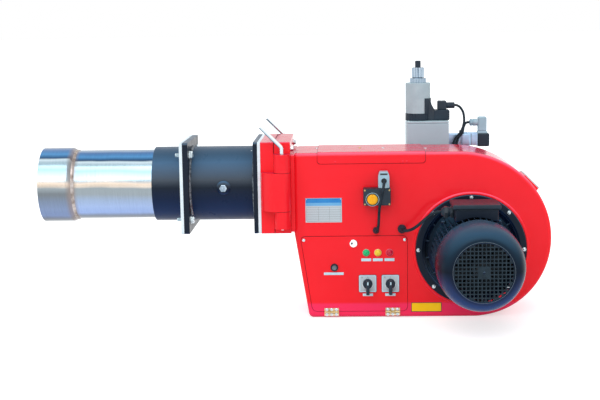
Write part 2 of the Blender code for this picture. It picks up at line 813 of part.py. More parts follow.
def make_casing():
    scroll = casing_outline()
    casing = outline(
        "volute_casing",
        RED_PAINT,
        "y",
        -FACE,
        FACE,
        [
            (CASING_LEFT, CASING_TOP),
            (CASING_LEFT, CASING_STEP),
            (CASING_LEFT_FOOT, CASING_BOTTOM),
            *scroll,
        ],
    )
    bevel(casing, CASING_FILLET, 3)

    neck_half = FRAME_OPENING / 2 + 0.007
    neck = box(
        "outlet_neck",
        RED_PAINT,
        (FRAME_END_X + GAP, -neck_half, -neck_half),
        (CASING_LEFT + CASING_FILLET, neck_half, neck_half),
    )
    lip = turned(
        "motor_lip",
        RED_PAINT,
        "y",
        [
            (MOTOR_LIP - 0.001, FACE + MOTOR_LIP_HEIGHT),
            (MOTOR_LIP, FACE + MOTOR_LIP_HEIGHT - 0.0015),
            (MOTOR_LIP + 0.001, FACE - 0.001),
            (PLATE_RADIUS + 0.001, FACE - 0.001),
            (PLATE_RADIUS + 0.001, FACE + MOTOR_LIP_HEIGHT),
        ],
        32,
        (MOTOR_X, 0, MOTOR_Z),
    )
    join(casing, neck, lip, make_rim_box())
    for number, place in enumerate(REAR_GLANDS):
        boss = rod(
            f"rear_gland_{number}", RED_PAINT, "y", 0.009, FACE - 0.001, REAR_GLAND_END, place, 12
        )
        join(casing, boss)

    air_path = [
        (CASING_LEFT + CASING_WALL, CASING_TOP - CASING_WALL),
        (CASING_LEFT + CASING_WALL, DUCT_FLOOR),
        *[polar(duct_radius(a), a) for a in range(TONGUE_ANGLE, -90, 11)],
        *casing_outline(CASING_WALL),
    ]
    back = FACE - CASING_WALL
    hollow = outline("air_path", RED_PAINT, "y", -back, back, air_path)
    bevel(hollow, CASING_FILLET - CASING_WALL, 1, 60)

    slope = (CASING_LEFT_FOOT - CASING_LEFT) / (CASING_STEP - CASING_BOTTOM)
    wall_across = CASING_WALL * math.sqrt(1 + slope**2)
    ceiling, floor = DUCT_FLOOR - CASING_WALL, CASING_BOTTOM + CASING_WALL
    outer_wall = [duct_radius(a) + CASING_WALL for a in range(-101, TONGUE_ANGLE + 2, -8)]
    cabinet = [
        (CASING_LEFT + wall_across + slope * (CASING_STEP - ceiling), ceiling),
        (CASING_LEFT + wall_across + slope * (CASING_STEP - floor), floor),
        *[polar(r, -101 - 8 * i) for i, r in enumerate(outer_wall)],
    ]
    room = outline("control_room", RED_PAINT, "y", -back, back, cabinet)

    half = FRAME_OPENING / 2
    outlet = box(
        "outlet_hole",
        RED_PAINT,
        (FRAME_END_X - 0.01, -half, -half),
        (CASING_LEFT + 2 * CASING_WALL, half, half),
    )
    motor_hole = rod(
        "motor_hole", RED_PAINT, "y", MOTOR_OPENING, -FACE - 0.02, -FACE + 0.02, (MOTOR_X, MOTOR_Z), 32
    )
    inlet = rod(
        "inlet_hole", RED_PAINT, "y", INTAKE_RADIUS, FACE - 0.02, FACE + 0.02, (MOTOR_X, MOTOR_Z), 24
    )
    door_hole = outline(
        "door_hole", RED_PAINT, "y", -FACE - 0.01, -FACE + 0.01, rounded(door_inset(), 0.008, 2)
    )
    lid_hole = box(
        "lid_hole",
        RED_PAINT,
        (LID_LEFT + 0.028, -FACE + 0.030, CASING_TOP - 0.02),
        (LID_RIGHT - 0.028, FACE - 0.030, CASING_TOP + 0.02),
    )
    gas_hole = rod(
        "gas_hole",
        RED_PAINT,
        "y",
        LANCE_RADIUS + RUN,
        FACE - 0.02,
        FACE + 0.02,
        (ELBOW_X, PIPE_Z),
        16,
    )
    cut(casing, hollow, room, outlet, motor_hole, inlet, door_hole, lid_hole, gas_hole)

    cone_end = -(WHEEL_BACK + WHEEL_WIDTH + 0.004)
    cone = turned(
        "inlet_cone",
        RED_PAINT,
        "y",
        [
            (INTAKE_CONE_RADIUS, cone_end),
            (INTAKE_RADIUS + 0.006, -FACE + CASING_WALL + 0.002),
            (INTAKE_RADIUS + 0.006, -FACE + CASING_WALL - 0.001),
            (INTAKE_RADIUS + 0.001, -FACE + CASING_WALL - 0.001),
            (INTAKE_CONE_RADIUS - 0.002, cone_end),
        ],
        24,
        (MOTOR_X, 0, MOTOR_Z),
    )
    join(casing, cone)
    return casing


def make_rim_box():
    """The small housing on the scroll's rim, turned to lie along it."""
    high, wide, long = RIM_BOX_SIZE
    rim = box(
        "rim_box", RED_PAINT, (-high / 2, -wide / 2, -long / 2), (high / 2, wide / 2, long / 2)
    )
    bevel(rim, 0.0015, 1)
    radius = scroll_radius(RIM_BOX_ANGLE) - 0.001
    x, z = polar(radius, RIM_BOX_ANGLE)
    rim.location = (x, 0.015, z)
    rim.rotation_euler = (0, -math.radians(RIM_BOX_ANGLE), 0)
    return rim


def door_inset():
    (x0, top), (x1, _), (_, bottom), (x2, _) = DOOR_CORNERS
    edge = DOOR_OVERLAP
    return [
        (x0 + edge + 0.002, top - edge),
        (x1 - edge, top - edge),
        (x1 - edge, bottom + edge),
        (x2 + edge - 0.001, bottom + edge),
    ]


def make_inspection_lid():
    """A lid bent over the casing's top, with a flap down the front and the back."""
    inner = FACE + GAP
    outer = inner + LID_THICKNESS
    under = CASING_TOP + GAP
    bend = CASING_FILLET

    def skin(half, top, radius):
        left = arc((-half + radius, top - radius), radius, 180, 90, 4)
        right = arc((half - radius, top - radius), radius, 90, 0, 4)
        return [(-half, LID_FLAP), *left, *right, (half, LID_REAR_FLAP)]

    outside = skin(outer, under + LID_THICKNESS, bend + LID_THICKNESS)
    inside = skin(inner, under, bend)
    lid = outline(
        "inspection_lid", RED_PAINT, "x", LID_LEFT, LID_RIGHT, [*outside, *reversed(inside)]
    )
    mask = rounded(
        [
            (LID_LEFT - 0.001, CASING_TOP + 0.05),
            (LID_LEFT - 0.001, LID_FLAP - 0.001),
            (LID_RIGHT + 0.001, LID_FLAP - 0.001),
            (LID_RIGHT + 0.001, CASING_TOP + 0.05),
        ],
        LID_CORNER,
        3,
    )
    boolean(lid, "INTERSECT", [outline("lid_mask", RED_PAINT, "y", -0.15, 0.15, mask)])


# Motor and fan


def make_motor_plate():
    front = FACE + GAP
    dish = front - PLATE_DISH
    turned(
        "motor_plate",
        BLACK_PAINT,
        "y",
        [
            (PLATE_RADIUS, front + PLATE_THICKNESS - 0.0015),
            (PLATE_RADIUS, front),
            (MOTOR_OPENING - 0.001, front),
            (MOTOR_OPENING - 0.006, dish - DISH_WALL),
            (0.058, dish - DISH_WALL),
            (0.058, dish),
            (MOTOR_OPENING - 0.015, dish),
            (MOTOR_OPENING - 0.008, front + 0.002),
            (MOTOR_OPENING - 0.005, front + PLATE_THICKNESS),
            (PLATE_RADIUS - 0.0015, front + PLATE_THICKNESS),
        ],
        32,
        (MOTOR_X, 0, MOTOR_Z),
    )
    return dish


def make_motor(dish):
    """The finned body with its end shield, and the terminal box on top."""
    seat = dish + GAP
    bore = SHAFT_RADIUS + RUN
    core_end = FACE + MOTOR_END
    body = turned(
        "motor_body",
        BLACK_PAINT,
        "y",
        [
            (0, core_end + 0.010),
            (0.062, core_end + 0.010),
            (0.078, core_end + 0.004),
            (FIN_ROOT - 0.001, core_end),
            (FIN_ROOT - 0.001, seat + 0.022),
            (0.108, seat + 0.009),
            (0.112, seat),
            (0, seat),
        ],
        32,
        (MOTOR_X, 0, MOTOR_Z),
        closed=False,
    )
    tip = (COWL_RADIUS - COWL_WALL) * math.cos(math.pi / COWL_SIDES) - GAP
    pitch = math.tau / FIN_COUNT
    fins = []
    for i in range(FIN_COUNT):
        for radius, offset in ((FIN_ROOT, -0.28), (tip, -0.09), (tip, 0.09), (FIN_ROOT, 0.28)):
            angle = (i + offset) * pitch
            fins.append(
                (MOTOR_X + radius * math.cos(angle), MOTOR_Z + radius * math.sin(angle))
            )
    fin_ring = outline("motor_fins", BLACK_PAINT, "y", -core_end + 0.002, -seat - 0.026, fins)
    shaft_way = rod(
        "shaft_way",
        BLACK_PAINT,
        "y",
        bore,
        -core_end - 0.02,
        -seat + 0.02,
        (MOTOR_X, MOTOR_Z),
        20,
        turn=4,
    )
    join(body, fin_ring)
    cut(body, shaft_way)

    lid_bottom = BOX_LID_TOP - BOX_LID_THICKNESS
    half = BOX_WIDTH / 2
    start, end = FACE + BOX_START, FACE + BOX_END
    terminal = box(
        "terminal_box",
        BLACK_PLASTIC,
        (MOTOR_X - half, -end, MOTOR_Z + FIN_ROOT),
        (MOTOR_X + half, -start, lid_bottom + 0.002),
        0.003,
        1,
    )
    over = LID_OVERHANG
    lid = box(
        "terminal_lid",
        BLACK_PLASTIC,
        (MOTOR_X - half - over, -end - over, lid_bottom),
        (MOTOR_X + half + over, -start + over, BOX_LID_TOP),
        0.002,
        1,
    )
    gland_y, gland_z = MOTOR_GLAND_AT
    gland_root = MOTOR_X - half + 0.002
    neck = rod(
        "terminal_gland_neck",
        BLACK_PLASTIC,
        "x",
        MOTOR_GLAND_RADIUS * 0.75,
        MOTOR_GLAND_END + 0.002,
        gland_root,
        (gland_y, gland_z),
        16,
    )
    nut = outline(
        "terminal_gland_nut",
        BLACK_PLASTIC,
        "x",
        MOTOR_GLAND_END,
        MOTOR_GLAND_END + 0.020,
        circle(MOTOR_GLAND_RADIUS, (gland_y, gland_z), 8),
    )
    saddle = rod(
        "motor_saddle",
        BLACK_PLASTIC,
        "y",
        tip + GAP,
        -end - 0.01,
        -start + 0.01,
        (MOTOR_X, MOTOR_Z),
        48,
    )
    cut(terminal, saddle)
    join(terminal, lid, neck, nut)


def make_cowl():
    """The fan cowl: a bowl with a flat grille of square holes round a plain hub."""
    steps = 4

    def bowl(inset):
        points = []
        for i in range(steps + 1):
            turn = math.radians(90 * i / steps)
            across = COWL_RADIUS - GRILLE_RADIUS - 0.002
            depth = COWL_END - 0.001 - COWL_SHOULDER
            points.append(
                (
                    GRILLE_RADIUS + 0.002 + (across - inset) * math.sin(turn),
                    FACE + COWL_SHOULDER + (depth - inset) * math.cos(turn),
                )
            )
        return points

    outer = bowl(0.0)
    inner = bowl(COWL_WALL)
    end = FACE + COWL_END
    cowl = turned(
        "fan_cowl",
        BLACK_PAINT,
        "y",
        [
            (GRILLE_RADIUS, end),
            *outer,
            (COWL_RADIUS, FACE + COWL_START),
            (COWL_RADIUS - COWL_WALL, FACE + COWL_START),
            *reversed(inner),
            (GRILLE_RADIUS - 0.002, end - 0.005),
            (GRILLE_RADIUS - 0.002, end),
        ],
        COWL_SIDES,
        (MOTOR_X, 0, MOTOR_Z),
    )
    rim = circle(GRILLE_RADIUS + 0.001, (MOTOR_X, MOTOR_Z), COWL_SIDES)
    join(cowl, outline("grille", BLACK_PAINT, "y", -end + 0.001, -end + 0.003, rim))
    cut(cowl, make_grille_holes(-end + 0.002))


def make_grille_holes(middle):
    """One cutter with a square peg for every hole between the hub and the rim."""
    work = bmesh.new()
    reach = math.ceil(GRILLE_RADIUS / GRILLE_PITCH)
    half = GRILLE_HOLE / 2
    size = Matrix.Diagonal((GRILLE_HOLE, 0.010, GRILLE_HOLE, 1))
    for i in range(-reach, reach + 1):
        for j in range(-reach, reach + 1):
            x, z = i * GRILLE_PITCH, j * GRILLE_PITCH
            middle_distance = math.hypot(x, z)
            far = math.hypot(abs(x) + half, abs(z) + half)
            if middle_distance > GRILLE_HUB and far < GRILLE_RADIUS - 0.003:
                place = Matrix.Translation((MOTOR_X + x, middle, MOTOR_Z + z))
                bmesh.ops.create_cube(work, size=1, matrix=place @ size)
    mesh = bpy.data.meshes.new("grille_holes")
    work.to_mesh(mesh)
    work.free()
    return add_object("grille_holes", mesh, BLACK_PAINT)


def make_rotor():
    """Shaft, fan wheel and cooling fan, which turn together about the motor axis."""
    centre = (MOTOR_X, 0, MOTOR_Z)
    wheel_hub = 0.042
    shaft_end = FACE + MOTOR_END + 0.060
    shaft = rod(
        "motor_shaft",
        ZINC,
        "y",
        SHAFT_RADIUS,
        -shaft_end,
        WHEEL_BACK + wheel_hub - 0.002,
        (MOTOR_X, MOTOR_Z),
        24,
    )

    hub_bore = SHAFT_RADIUS + GAP
    plate = 0.003
    back = -WHEEL_BACK
    wheel = turned(
        "fan_impeller",
        ZINC,
        "y",
        [
            (WHEEL_RADIUS, back),
            (WHEEL_RADIUS, back - plate),
            (0.028, back - plate),
            (0.024, back - wheel_hub),
            (hub_bore, back - wheel_hub),
            (hub_bore, back),
        ],
        24,
        centre,
    )
    eye = INTAKE_CONE_RADIUS + 0.012
    front = back - WHEEL_WIDTH
    ring = turned(
        "wheel_ring",
        ZINC,
        "y",
        [
            (WHEEL_RADIUS, front + plate),
            (WHEEL_RADIUS, front),
            (eye, front),
            (eye, front + plate),
        ],
        24,
        centre,
    )
    blades = []
    for i in range(BLADE_COUNT):
        start = math.tau * i / BLADE_COUNT
        stations = ((0.0, 0.0), (0.5, 0.055), (1.0, 0.17))
        pressure, suction = [], []
        for share, lean in stations:
            radius = eye + 0.003 + (WHEEL_RADIUS - eye - 0.005) * share
            width = 0.0010 / radius
            for side, offset in ((pressure, -width), (suction, width)):
                angle = start + lean + offset
                side.append(
                    (MOTOR_X + radius * math.cos(angle), MOTOR_Z + radius * math.sin(angle))
                )
        blades.append([*pressure, *reversed(suction)])
    blade_ring = outline(
        "wheel_blades", ZINC, "y", -back + plate / 2, -front - plate / 2, *blades
    )
    join(wheel, blade_ring, ring)

    fan_start = FACE + MOTOR_END + 0.014
    fan = turned(
        "cooling_fan",
        BLACK_PLASTIC,
        "y",
        [
            (0.024, fan_start + 0.036),
            (0.026, fan_start + 0.003),
            (0.070, fan_start + 0.003),
            (0.070, fan_start),
            (hub_bore, fan_start),
            (hub_bore, fan_start + 0.036),
        ],
        20,
        centre,
    )
    vanes = []
    for i in range(COOLING_BLADES):
        middle = math.tau * i / COOLING_BLADES
        for radius, across in ((0.021, -0.0015), (0.094, -0.0015), (0.094, 0.0015), (0.021, 0.0015)):
            vanes.append(
                (
                    MOTOR_X + radius * math.cos(middle) - across * math.sin(middle),
                    MOTOR_Z + radius * math.sin(middle) + across * math.cos(middle),
                )
            )
    bore = circle(0.019, (MOTOR_X, MOTOR_Z), 12)
    join(
        fan,
        outline(
            "cooling_vanes", BLACK_PLASTIC, "y", -fan_start - 0.030, -fan_start - 0.001, vanes, bore
        ),
    )
    carry(axis_mark("rotor_axis", centre), shaft, wheel, fan)


# Control panel door and what it carries


def make_door():
    front = DOOR_FRONT
    hole = circle(RESET_RADIUS + RUN + 0.001, RESET_AT, 12, 10)
    lock_hole = circle(LOCK_BARREL + RUN, LOCK_AT, 16)
    door = outline(
        "panel_door",
        RED_PAINT,
        "y",
        -front,
        -DOOR_BACK,
        rounded(DOOR_CORNERS, DOOR_CORNER, 4),
        hole,
        lock_hole,
    )
    for number, x in enumerate(SWITCH_CENTRES):
        half = SWITCH_PLATE / 2
        thick = SWITCH_PLATE_THICKNESS
        plate = box(
            f"switch_plate_{number}",
            PLUG_GREY,
            (x - half, -front - thick, SWITCH_Z - half),
            (x + half, -front + 0.0005, SWITCH_Z + half),
            0.001,
            1,
        )
        depth, side = 0.045, 0.020
        block = box(
            f"switch_block_{number}",
            BLACK_PLASTIC,
            (x - side, -DOOR_BACK - 0.0005, SWITCH_Z - side),
            (x + side, -DOOR_BACK + depth, SWITCH_Z + side),
        )
        join(door, plate, block)
    bezel = turned(
        "reset_bezel",
        BLACK_PLASTIC,
        "y",
        [
            (0.009, front + 0.006),
            (0.0102, front + 0.0045),
            (0.0102, front - 0.0005),
            (RESET_RADIUS + RUN, front - 0.0005),
            (RESET_RADIUS + RUN, front + 0.006),
        ],
        16,
        (RESET_AT[0], 0, RESET_AT[1]),
    )
    join(door, bezel)

    button = rod(
        "reset_button",
        PLUG_GREY,
        "y",
        RESET_RADIUS,
        -front - 0.0078,
        -DOOR_BACK + 0.006,
        RESET_AT,
        16,
    )
    lock = make_lock(front)
    lamps = [
        turned(
            name,
            material,
            "y",
            [
                (0, front + 0.0085),
                (LAMP_RADIUS * 0.65, front + 0.0075),
                (LAMP_RADIUS, front + 0.004),
                (LAMP_RADIUS, front + GAP),
                (0, front + GAP),
            ],
            16,
            (x, 0, LAMP_Z),
            closed=False,
        )
        for name, material, x in zip(
            ("lamp_green", "lamp_yellow", "lamp_red"),
            (LAMP_GREEN, LAMP_YELLOW, LAMP_RED),
            LAMP_XS,
        )
    ]
    knobs = [make_knob(i, x, front + SWITCH_PLATE_THICKNESS) for i, x in enumerate(SWITCH_CENTRES)]
    door_leaves = make_leaves(front)
    door_axis = axis_mark("door_axis", (0, -DOOR_AXIS_Y, DOOR_AXIS_Z))
    carry(door_axis, door, *lamps, *door_leaves)
    marks = [
        axis_mark("reset_axis", (RESET_AT[0], -front, RESET_AT[1])),
        axis_mark("lock_axis", (LOCK_AT[0], -front, LOCK_AT[1])),
    ]
    marks += [
        axis_mark(knob.name + "_axis", (x, -front, SWITCH_Z))
        for x, knob in zip(SWITCH_CENTRES, knobs)
    ]
    for mark, solid in zip(marks, (button, lock, *knobs)):
        carry(mark, solid)
    carry(door_axis, *marks)


def make_lock(front):
    """Quarter-turn lock: a keyed barrel with a cam behind the door, shown unlocked."""
    barrel = LOCK_BARREL
    x, z = LOCK_AT
    cam_y = -FACE + CASING_WALL + 0.001
    lock = turned(
        "door_lock",
        ZINC,
        "y",
        [
            (0, front + 0.0035),
            (LOCK_RADIUS - 0.0015, front + 0.0035),
            (LOCK_RADIUS, front + 0.002),
            (LOCK_RADIUS, front + GAP),
            (barrel, front + GAP),
            (barrel, -cam_y - 0.001),
            (0, -cam_y - 0.001),
        ],
        20,
        (x, 0, z),
        closed=False,
    )
    cam = box("lock_cam", ZINC, (x - 0.005, cam_y, z - 0.005), (x + 0.021, cam_y + 0.0025, z + 0.005))
    slot = box(
        "key_slot",
        ZINC,
        (x - 0.0055, -front - 0.006, z - 0.001),
        (x - 0.0005, -front - 0.0015, z + 0.0012),
    )
    join(lock, cam)
    cut(lock, slot)
    return lock


def make_knob(number, x, seat):
    """Round base with a pointer handle that hangs down at rest."""
    base = turned(
        f"switch_knob_{number + 1}",
        BLACK_PLASTIC,
        "y",
        [
            (0, seat + 0.012),
            (KNOB_RADIUS - 0.0025, seat + 0.012),
            (KNOB_RADIUS, seat + 0.009),
            (KNOB_RADIUS, seat + GAP),
            (0, seat + GAP),
        ],
        20,
        (x, 0, SWITCH_Z),
        closed=False,
    )
    half, top, bottom = 0.0045, 0.011, 0.0265
    handle = box(
        f"knob_handle_{number}",
        BLACK_PLASTIC,
        (x - half, -seat - 0.024, SWITCH_Z - bottom),
        (x + half, -seat - 0.002, SWITCH_Z + top),
        0.002,
        1,
    )
    return join(base, handle)


def make_leaves(front):
    """Two small hinges. The door's leaf holds the middle knuckle, the casing's the outer two."""
    moving = []
    for number, middle in enumerate(LEAF_CENTRES, 1):
        start, end = middle - LEAF_LENGTH / 2, middle + LEAF_LENGTH / 2
        third = LEAF_LENGTH / 3
        centre = (-DOOR_AXIS_Y, DOOR_AXIS_Z)
        door_face = -(front + GAP)
        door_leaf = box(
            f"door_leaf_{number}",
            BRASS,
            (start, door_face - LEAF_THICKNESS, DOOR_AXIS_Z + BARREL_RADIUS + RUN),
            (end, door_face, DOOR_AXIS_Z + LEAF_HEIGHT),
        )
        door_tab = outline(
            f"door_knuckle_{number}",
            BRASS,
            "x",
            start + third + GAP,
            end - third - GAP,
            knuckle_plan(centre, door_face - LEAF_THICKNESS + GAP, door_face - GAP, 1),
            circle(HINGE_PIN_RADIUS + RUN / 2, centre, 8),
        )
        moving.append(join(door_leaf, door_tab))
        case_face = -(FACE + GAP)
        case_leaf = box(
            f"case_leaf_{number}",
            BRASS,
            (start, case_face - LEAF_THICKNESS, DOOR_AXIS_Z - LEAF_HEIGHT),
            (end, case_face, DOOR_AXIS_Z - BARREL_RADIUS - RUN),
        )
        inset = GAP / 2
        ends = ("left", start + inset, start + third), ("right", end - third, end - inset)
        for end_name, a, b in ends:
            tab = outline(
                f"case_knuckle_{number}_{end_name}",
                BRASS,
                "x",
                a,
                b,
                knuckle_plan(centre, case_face - LEAF_THICKNESS + GAP, case_face - GAP, -1),
            )
            join(case_leaf, tab)
        pin = rod(
            f"leaf_pin_{number}", BRASS, "x", HINGE_PIN_RADIUS, start + 0.001, end - 0.001, centre, 8
        )
        join(case_leaf, pin)
    return moving


def knuckle_plan(centre, outer, inner, side):
    """A barrel with a tab that runs into the leaf above it (side 1) or below it (side -1)."""
    y, z = centre
    root = z + side * (BARREL_RADIUS + RUN + 0.001)
    points = arc(centre, BARREL_RADIUS, 180, 0, 8) if side == -1 else arc(centre, BARREL_RADIUS, -180, 0, 8)
    lower = [(max(outer, y - BARREL_RADIUS), root), (inner, root)]
    return [*lower, *(reversed(points) if points[0][0] < points[-1][0] else points)]


# Air pressure switch and the cables on the casing's face


def make_pressure_switch():
    low, high = PRESSURE_SWITCH
    body = box("pressure_switch", BLACK_PLASTIC, low, high, 0.003, 1)
    ring = turned(
        "dial_ring",
        BLACK_PLASTIC,
        "y",
        [
            (DIAL_RADIUS + 0.0037, -low[1] + 0.002),
            (DIAL_RADIUS + 0.0037, -low[1] - 0.001),
            (DIAL_RADIUS + RUN, -low[1] - 0.001),
            (DIAL_RADIUS + RUN, -low[1] + 0.002),
        ],
        24,
        (DIAL_AT[0], 0, DIAL_AT[1]),
    )
    join(body, ring)
    front = -low[1] + GAP
    dial = turned(
        "pressure_dial",
        DIAL_YELLOW,
        "y",
        [
            (0, front + 0.0035),
            (DIAL_RADIUS - 0.001, front + 0.0035),
            (DIAL_RADIUS, front + 0.0025),
            (DIAL_RADIUS, front),
            (0, front),
        ],
        24,
        (DIAL_AT[0], 0, DIAL_AT[1]),
        closed=False,
    )
    carry(axis_mark("dial_axis", (DIAL_AT[0], low[1], DIAL_AT[1])), dial)

    bottom = high[2] + GAP
    shape = [
        (PLUG_LEFT, bottom),
        (PLUG_RIGHT, bottom),
        (PLUG_RIGHT, PLUG_TOP - 0.012),
        (PLUG_RIGHT - 0.004, PLUG_TOP),
        (PLUG_LEFT + 0.004, PLUG_TOP),
        (PLUG_LEFT, PLUG_TOP - 0.012),
    ]
    plug = outline(
        "switch_plug", PLUG_GREY, "y", -FACE - PLUG_FRONT, -FACE - 0.004, rounded(shape, 0.002, 1)
    )
    x, z = PLUG_HOLE
    ring = turned(
        "plug_ring",
        PLUG_GREY,
        "y",
        [
            (0.0085, FACE + PLUG_FRONT + 0.002),
            (0.0085, FACE + PLUG_FRONT - 0.001),
            (0.0066, FACE + PLUG_FRONT - 0.001),
            (0.0066, FACE + PLUG_FRONT + 0.002),
        ],
        20,
        (x, 0, z),
    )
    join(plug, ring)


def make_casing_glands():
    for name, place, radius, height in (
        ("switch_cable_gland", SWITCH_GLAND, 0.0085, GLAND_HEIGHT),
        ("motor_cable_gland", CASING_GLAND, 0.0115, GLAND_HEIGHT),
    ):
        x, z = place
        base = rod(name, BLACK_PLASTIC, "y", radius, -FACE - height * 0.55, -FACE - GAP, place, 16)
        nut = outline(
            name + "_nut",
            BLACK_PLASTIC,
            "y",
            -FACE - height,
            -FACE - height * 0.45,
            circle(radius * 0.88, (x, z), 8),
        )
        join(base, nut)


GLAND_HEIGHT = 0.018
PLUG_HOLE = (0.5305, 0.0176)
MOTOR_GLAND_AT = (-0.190, -0.0555)
MOTOR_GLAND_END = 0.6723
REAR_GLANDS = ((0.736, 0.030), (0.758, 0.030))
VALVE_PLUG_AT = (COIL_X + 0.1018, VALVE_TOP + 0.040)
REAR_GLAND_END = FACE + 0.012

SWITCH_CABLE_ROUTE = (
    (PLUG_HOLE[0], -FACE - PLUG_FRONT - GAP, PLUG_HOLE[1]),
    (0.5305, -0.1420, 0.0172),
    (0.5285, -0.1530, 0.0050),
    (0.5230, -0.1570, -0.0230),
    (0.5175, -0.1530, -0.0540),
    (0.5160, -0.1465, -0.0820),
    (0.5145, -0.1390, -0.1020),
    (0.5105, -0.1280, -0.1155),
    (SWITCH_GLAND[0], -FACE - GLAND_HEIGHT - 2 * GAP, SWITCH_GLAND[1]),
)
MOTOR_CABLE_ROUTE = (
    (MOTOR_GLAND_END - 2 * GAP, MOTOR_GLAND_AT[0], MOTOR_GLAND_AT[1]),
    (0.6620, -0.1899, -0.0560),
    (0.6440, -0.1820, -0.0665),
    (0.6280, -0.1700, -0.0820),
    (0.6110, -0.1580, -0.0990),
    (0.5930, -0.1430, -0.1105),
    (0.5782, -0.1280, -0.1129),
    (CASING_GLAND[0], -FACE - GLAND_HEIGHT - 2 * GAP, CASING_GLAND[1]),
)
VALVE_CABLE_ROUTE = (
    (VALVE_PLUG_AT[0] + GAP, VALVE_Y, VALVE_PLUG_AT[1]),
    (VALVE_PLUG_AT[0] + 0.0064, VALVE_Y, VALVE_PLUG_AT[1] - 0.0003),
    (0.7570, 0.157, 0.1790),
    (0.7640, 0.156, 0.1560),
    (0.7620, 0.155, 0.1330),
    (0.7550, 0.154, 0.1160),
    (0.7400, 0.153, 0.0900),
    (0.7345, 0.148, 0.0660),
    (0.7350, 0.135, 0.0420),
    (0.7360, 0.120, 0.0304),
    (REAR_GLANDS[0][0], REAR_GLAND_END + 2 * GAP, REAR_GLANDS[0][1]),
)
PILOT_CABLE_ROUTE = (
    (0.7817 - 2 * GAP, 0.190, 0.1390),
    (0.7750, 0.1895, 0.1385),
    (0.7660, 0.178, 0.1290),
    (0.7610, 0.165, 0.1150),
    (0.7520, 0.161, 0.0950),
    (0.7460, 0.154, 0.0700),
    (0.7520, 0.139, 0.0430),
    (0.7575, 0.122, 0.0304),
    (REAR_GLANDS[1][0], REAR_GLAND_END + 2 * GAP, REAR_GLANDS[1][1]),
)


def make_cables():
    for name, route, radius in (
        ("switch_cable", SWITCH_CABLE_ROUTE, SWITCH_CABLE_RADIUS),
        ("motor_cable", MOTOR_CABLE_ROUTE, MOTOR_CABLE_RADIUS),
        ("valve_cable", VALVE_CABLE_ROUTE, SWITCH_CABLE_RADIUS),
        ("pilot_cable", PILOT_CABLE_ROUTE, SWITCH_CABLE_RADIUS),
    ):
        tube(name, CABLE, smooth_route(route, radius * 5.6), radius, 2)


def make_control_board():
    """Mounting plate behind the door, with the flame relay, the contactor and the terminals."""
    back = FACE - CASING_WALL - GAP
    face = back - 0.003
    board = box("control_board", PLUG_GREY, (0.356, face, -0.318), (0.572, back, -0.148))
    relay = box(
        "flame_relay", VALVE_GREY, (0.372, face - 0.060, -0.300), (0.442, face + 0.001, -0.190), 0.003, 1
    )
    contactor = box(
        "motor_contactor", BLACK_PLASTIC, (0.470, face - 0.070, -0.250), (0.515, face + 0.001, -0.170), 0.002, 1
    )
    terminals = box(
        "terminal_strip", PLUG_GREY, (0.460, face - 0.028, -0.305), (0.560, face + 0.001, -0.275)
    )
    join(board, relay, contactor, terminals)


# Air intake with its damper


def make_intake():
    half = BOX_INTAKE_WIDTH / 2
    start = FACE + GAP
    end = start + BOX_INTAKE_DEPTH
    wall = INTAKE_WALL
    low = (MOTOR_X - half, start, BOX_INTAKE_BOTTOM)
    high = (MOTOR_X + half, end, BOX_INTAKE_TOP)
    duct = box("air_intake", BLACK_PAINT, low, high)
    hollow = box(
        "intake_hollow",
        BLACK_PAINT,
        (low[0] + wall, start - 0.01, low[2] - 0.01),
        (high[0] - wall, end - wall, high[2] - wall),
    )
    shaft_y = (start + end - wall) / 2
    ends = (low[0] - 0.02, high[0] + 0.02)
    shaft_hole = rod(
        "damper_bore", BLACK_PAINT, "x", DAMPER_SHAFT + RUN, *ends, (shaft_y, DAMPER_Z), 16
    )
    cut(duct, hollow, shaft_hole)

    reach = (BOX_INTAKE_DEPTH - wall) / 2 - 0.002
    flap = box(
        "air_damper",
        ZINC,
        (low[0] + wall + 0.0015, shaft_y - reach, DAMPER_Z - DAMPER_THICKNESS / 2),
        (high[0] - wall - 0.0015, shaft_y + reach, DAMPER_Z + DAMPER_THICKNESS / 2),
    )
    servo_start = high[0] + GAP
    shaft = rod(
        "damper_shaft",
        ZINC,
        "x",
        DAMPER_SHAFT,
        low[0] - 0.003,
        servo_start + 0.010,
        (shaft_y, DAMPER_Z),
        16,
    )
    join(flap, shaft)
    carry(axis_mark("damper_axis", (MOTOR_X, shaft_y, DAMPER_Z)), flap)

    servo = box(
        "air_servomotor",
        BLACK_PLASTIC,
        (servo_start, shaft_y - 0.034, DAMPER_Z - 0.030),
        (servo_start + 0.058, shaft_y + 0.034, DAMPER_Z + 0.050),
        0.004,
        2,
    )
    socket = rod(
        "servo_socket",
        BLACK_PLASTIC,
        "x",
        DAMPER_SHAFT + RUN,
        servo_start - 0.01,
        servo_start + 0.012,
        (shaft_y, DAMPER_Z),
        16,
    )
    cut(servo, socket)


# Gas line


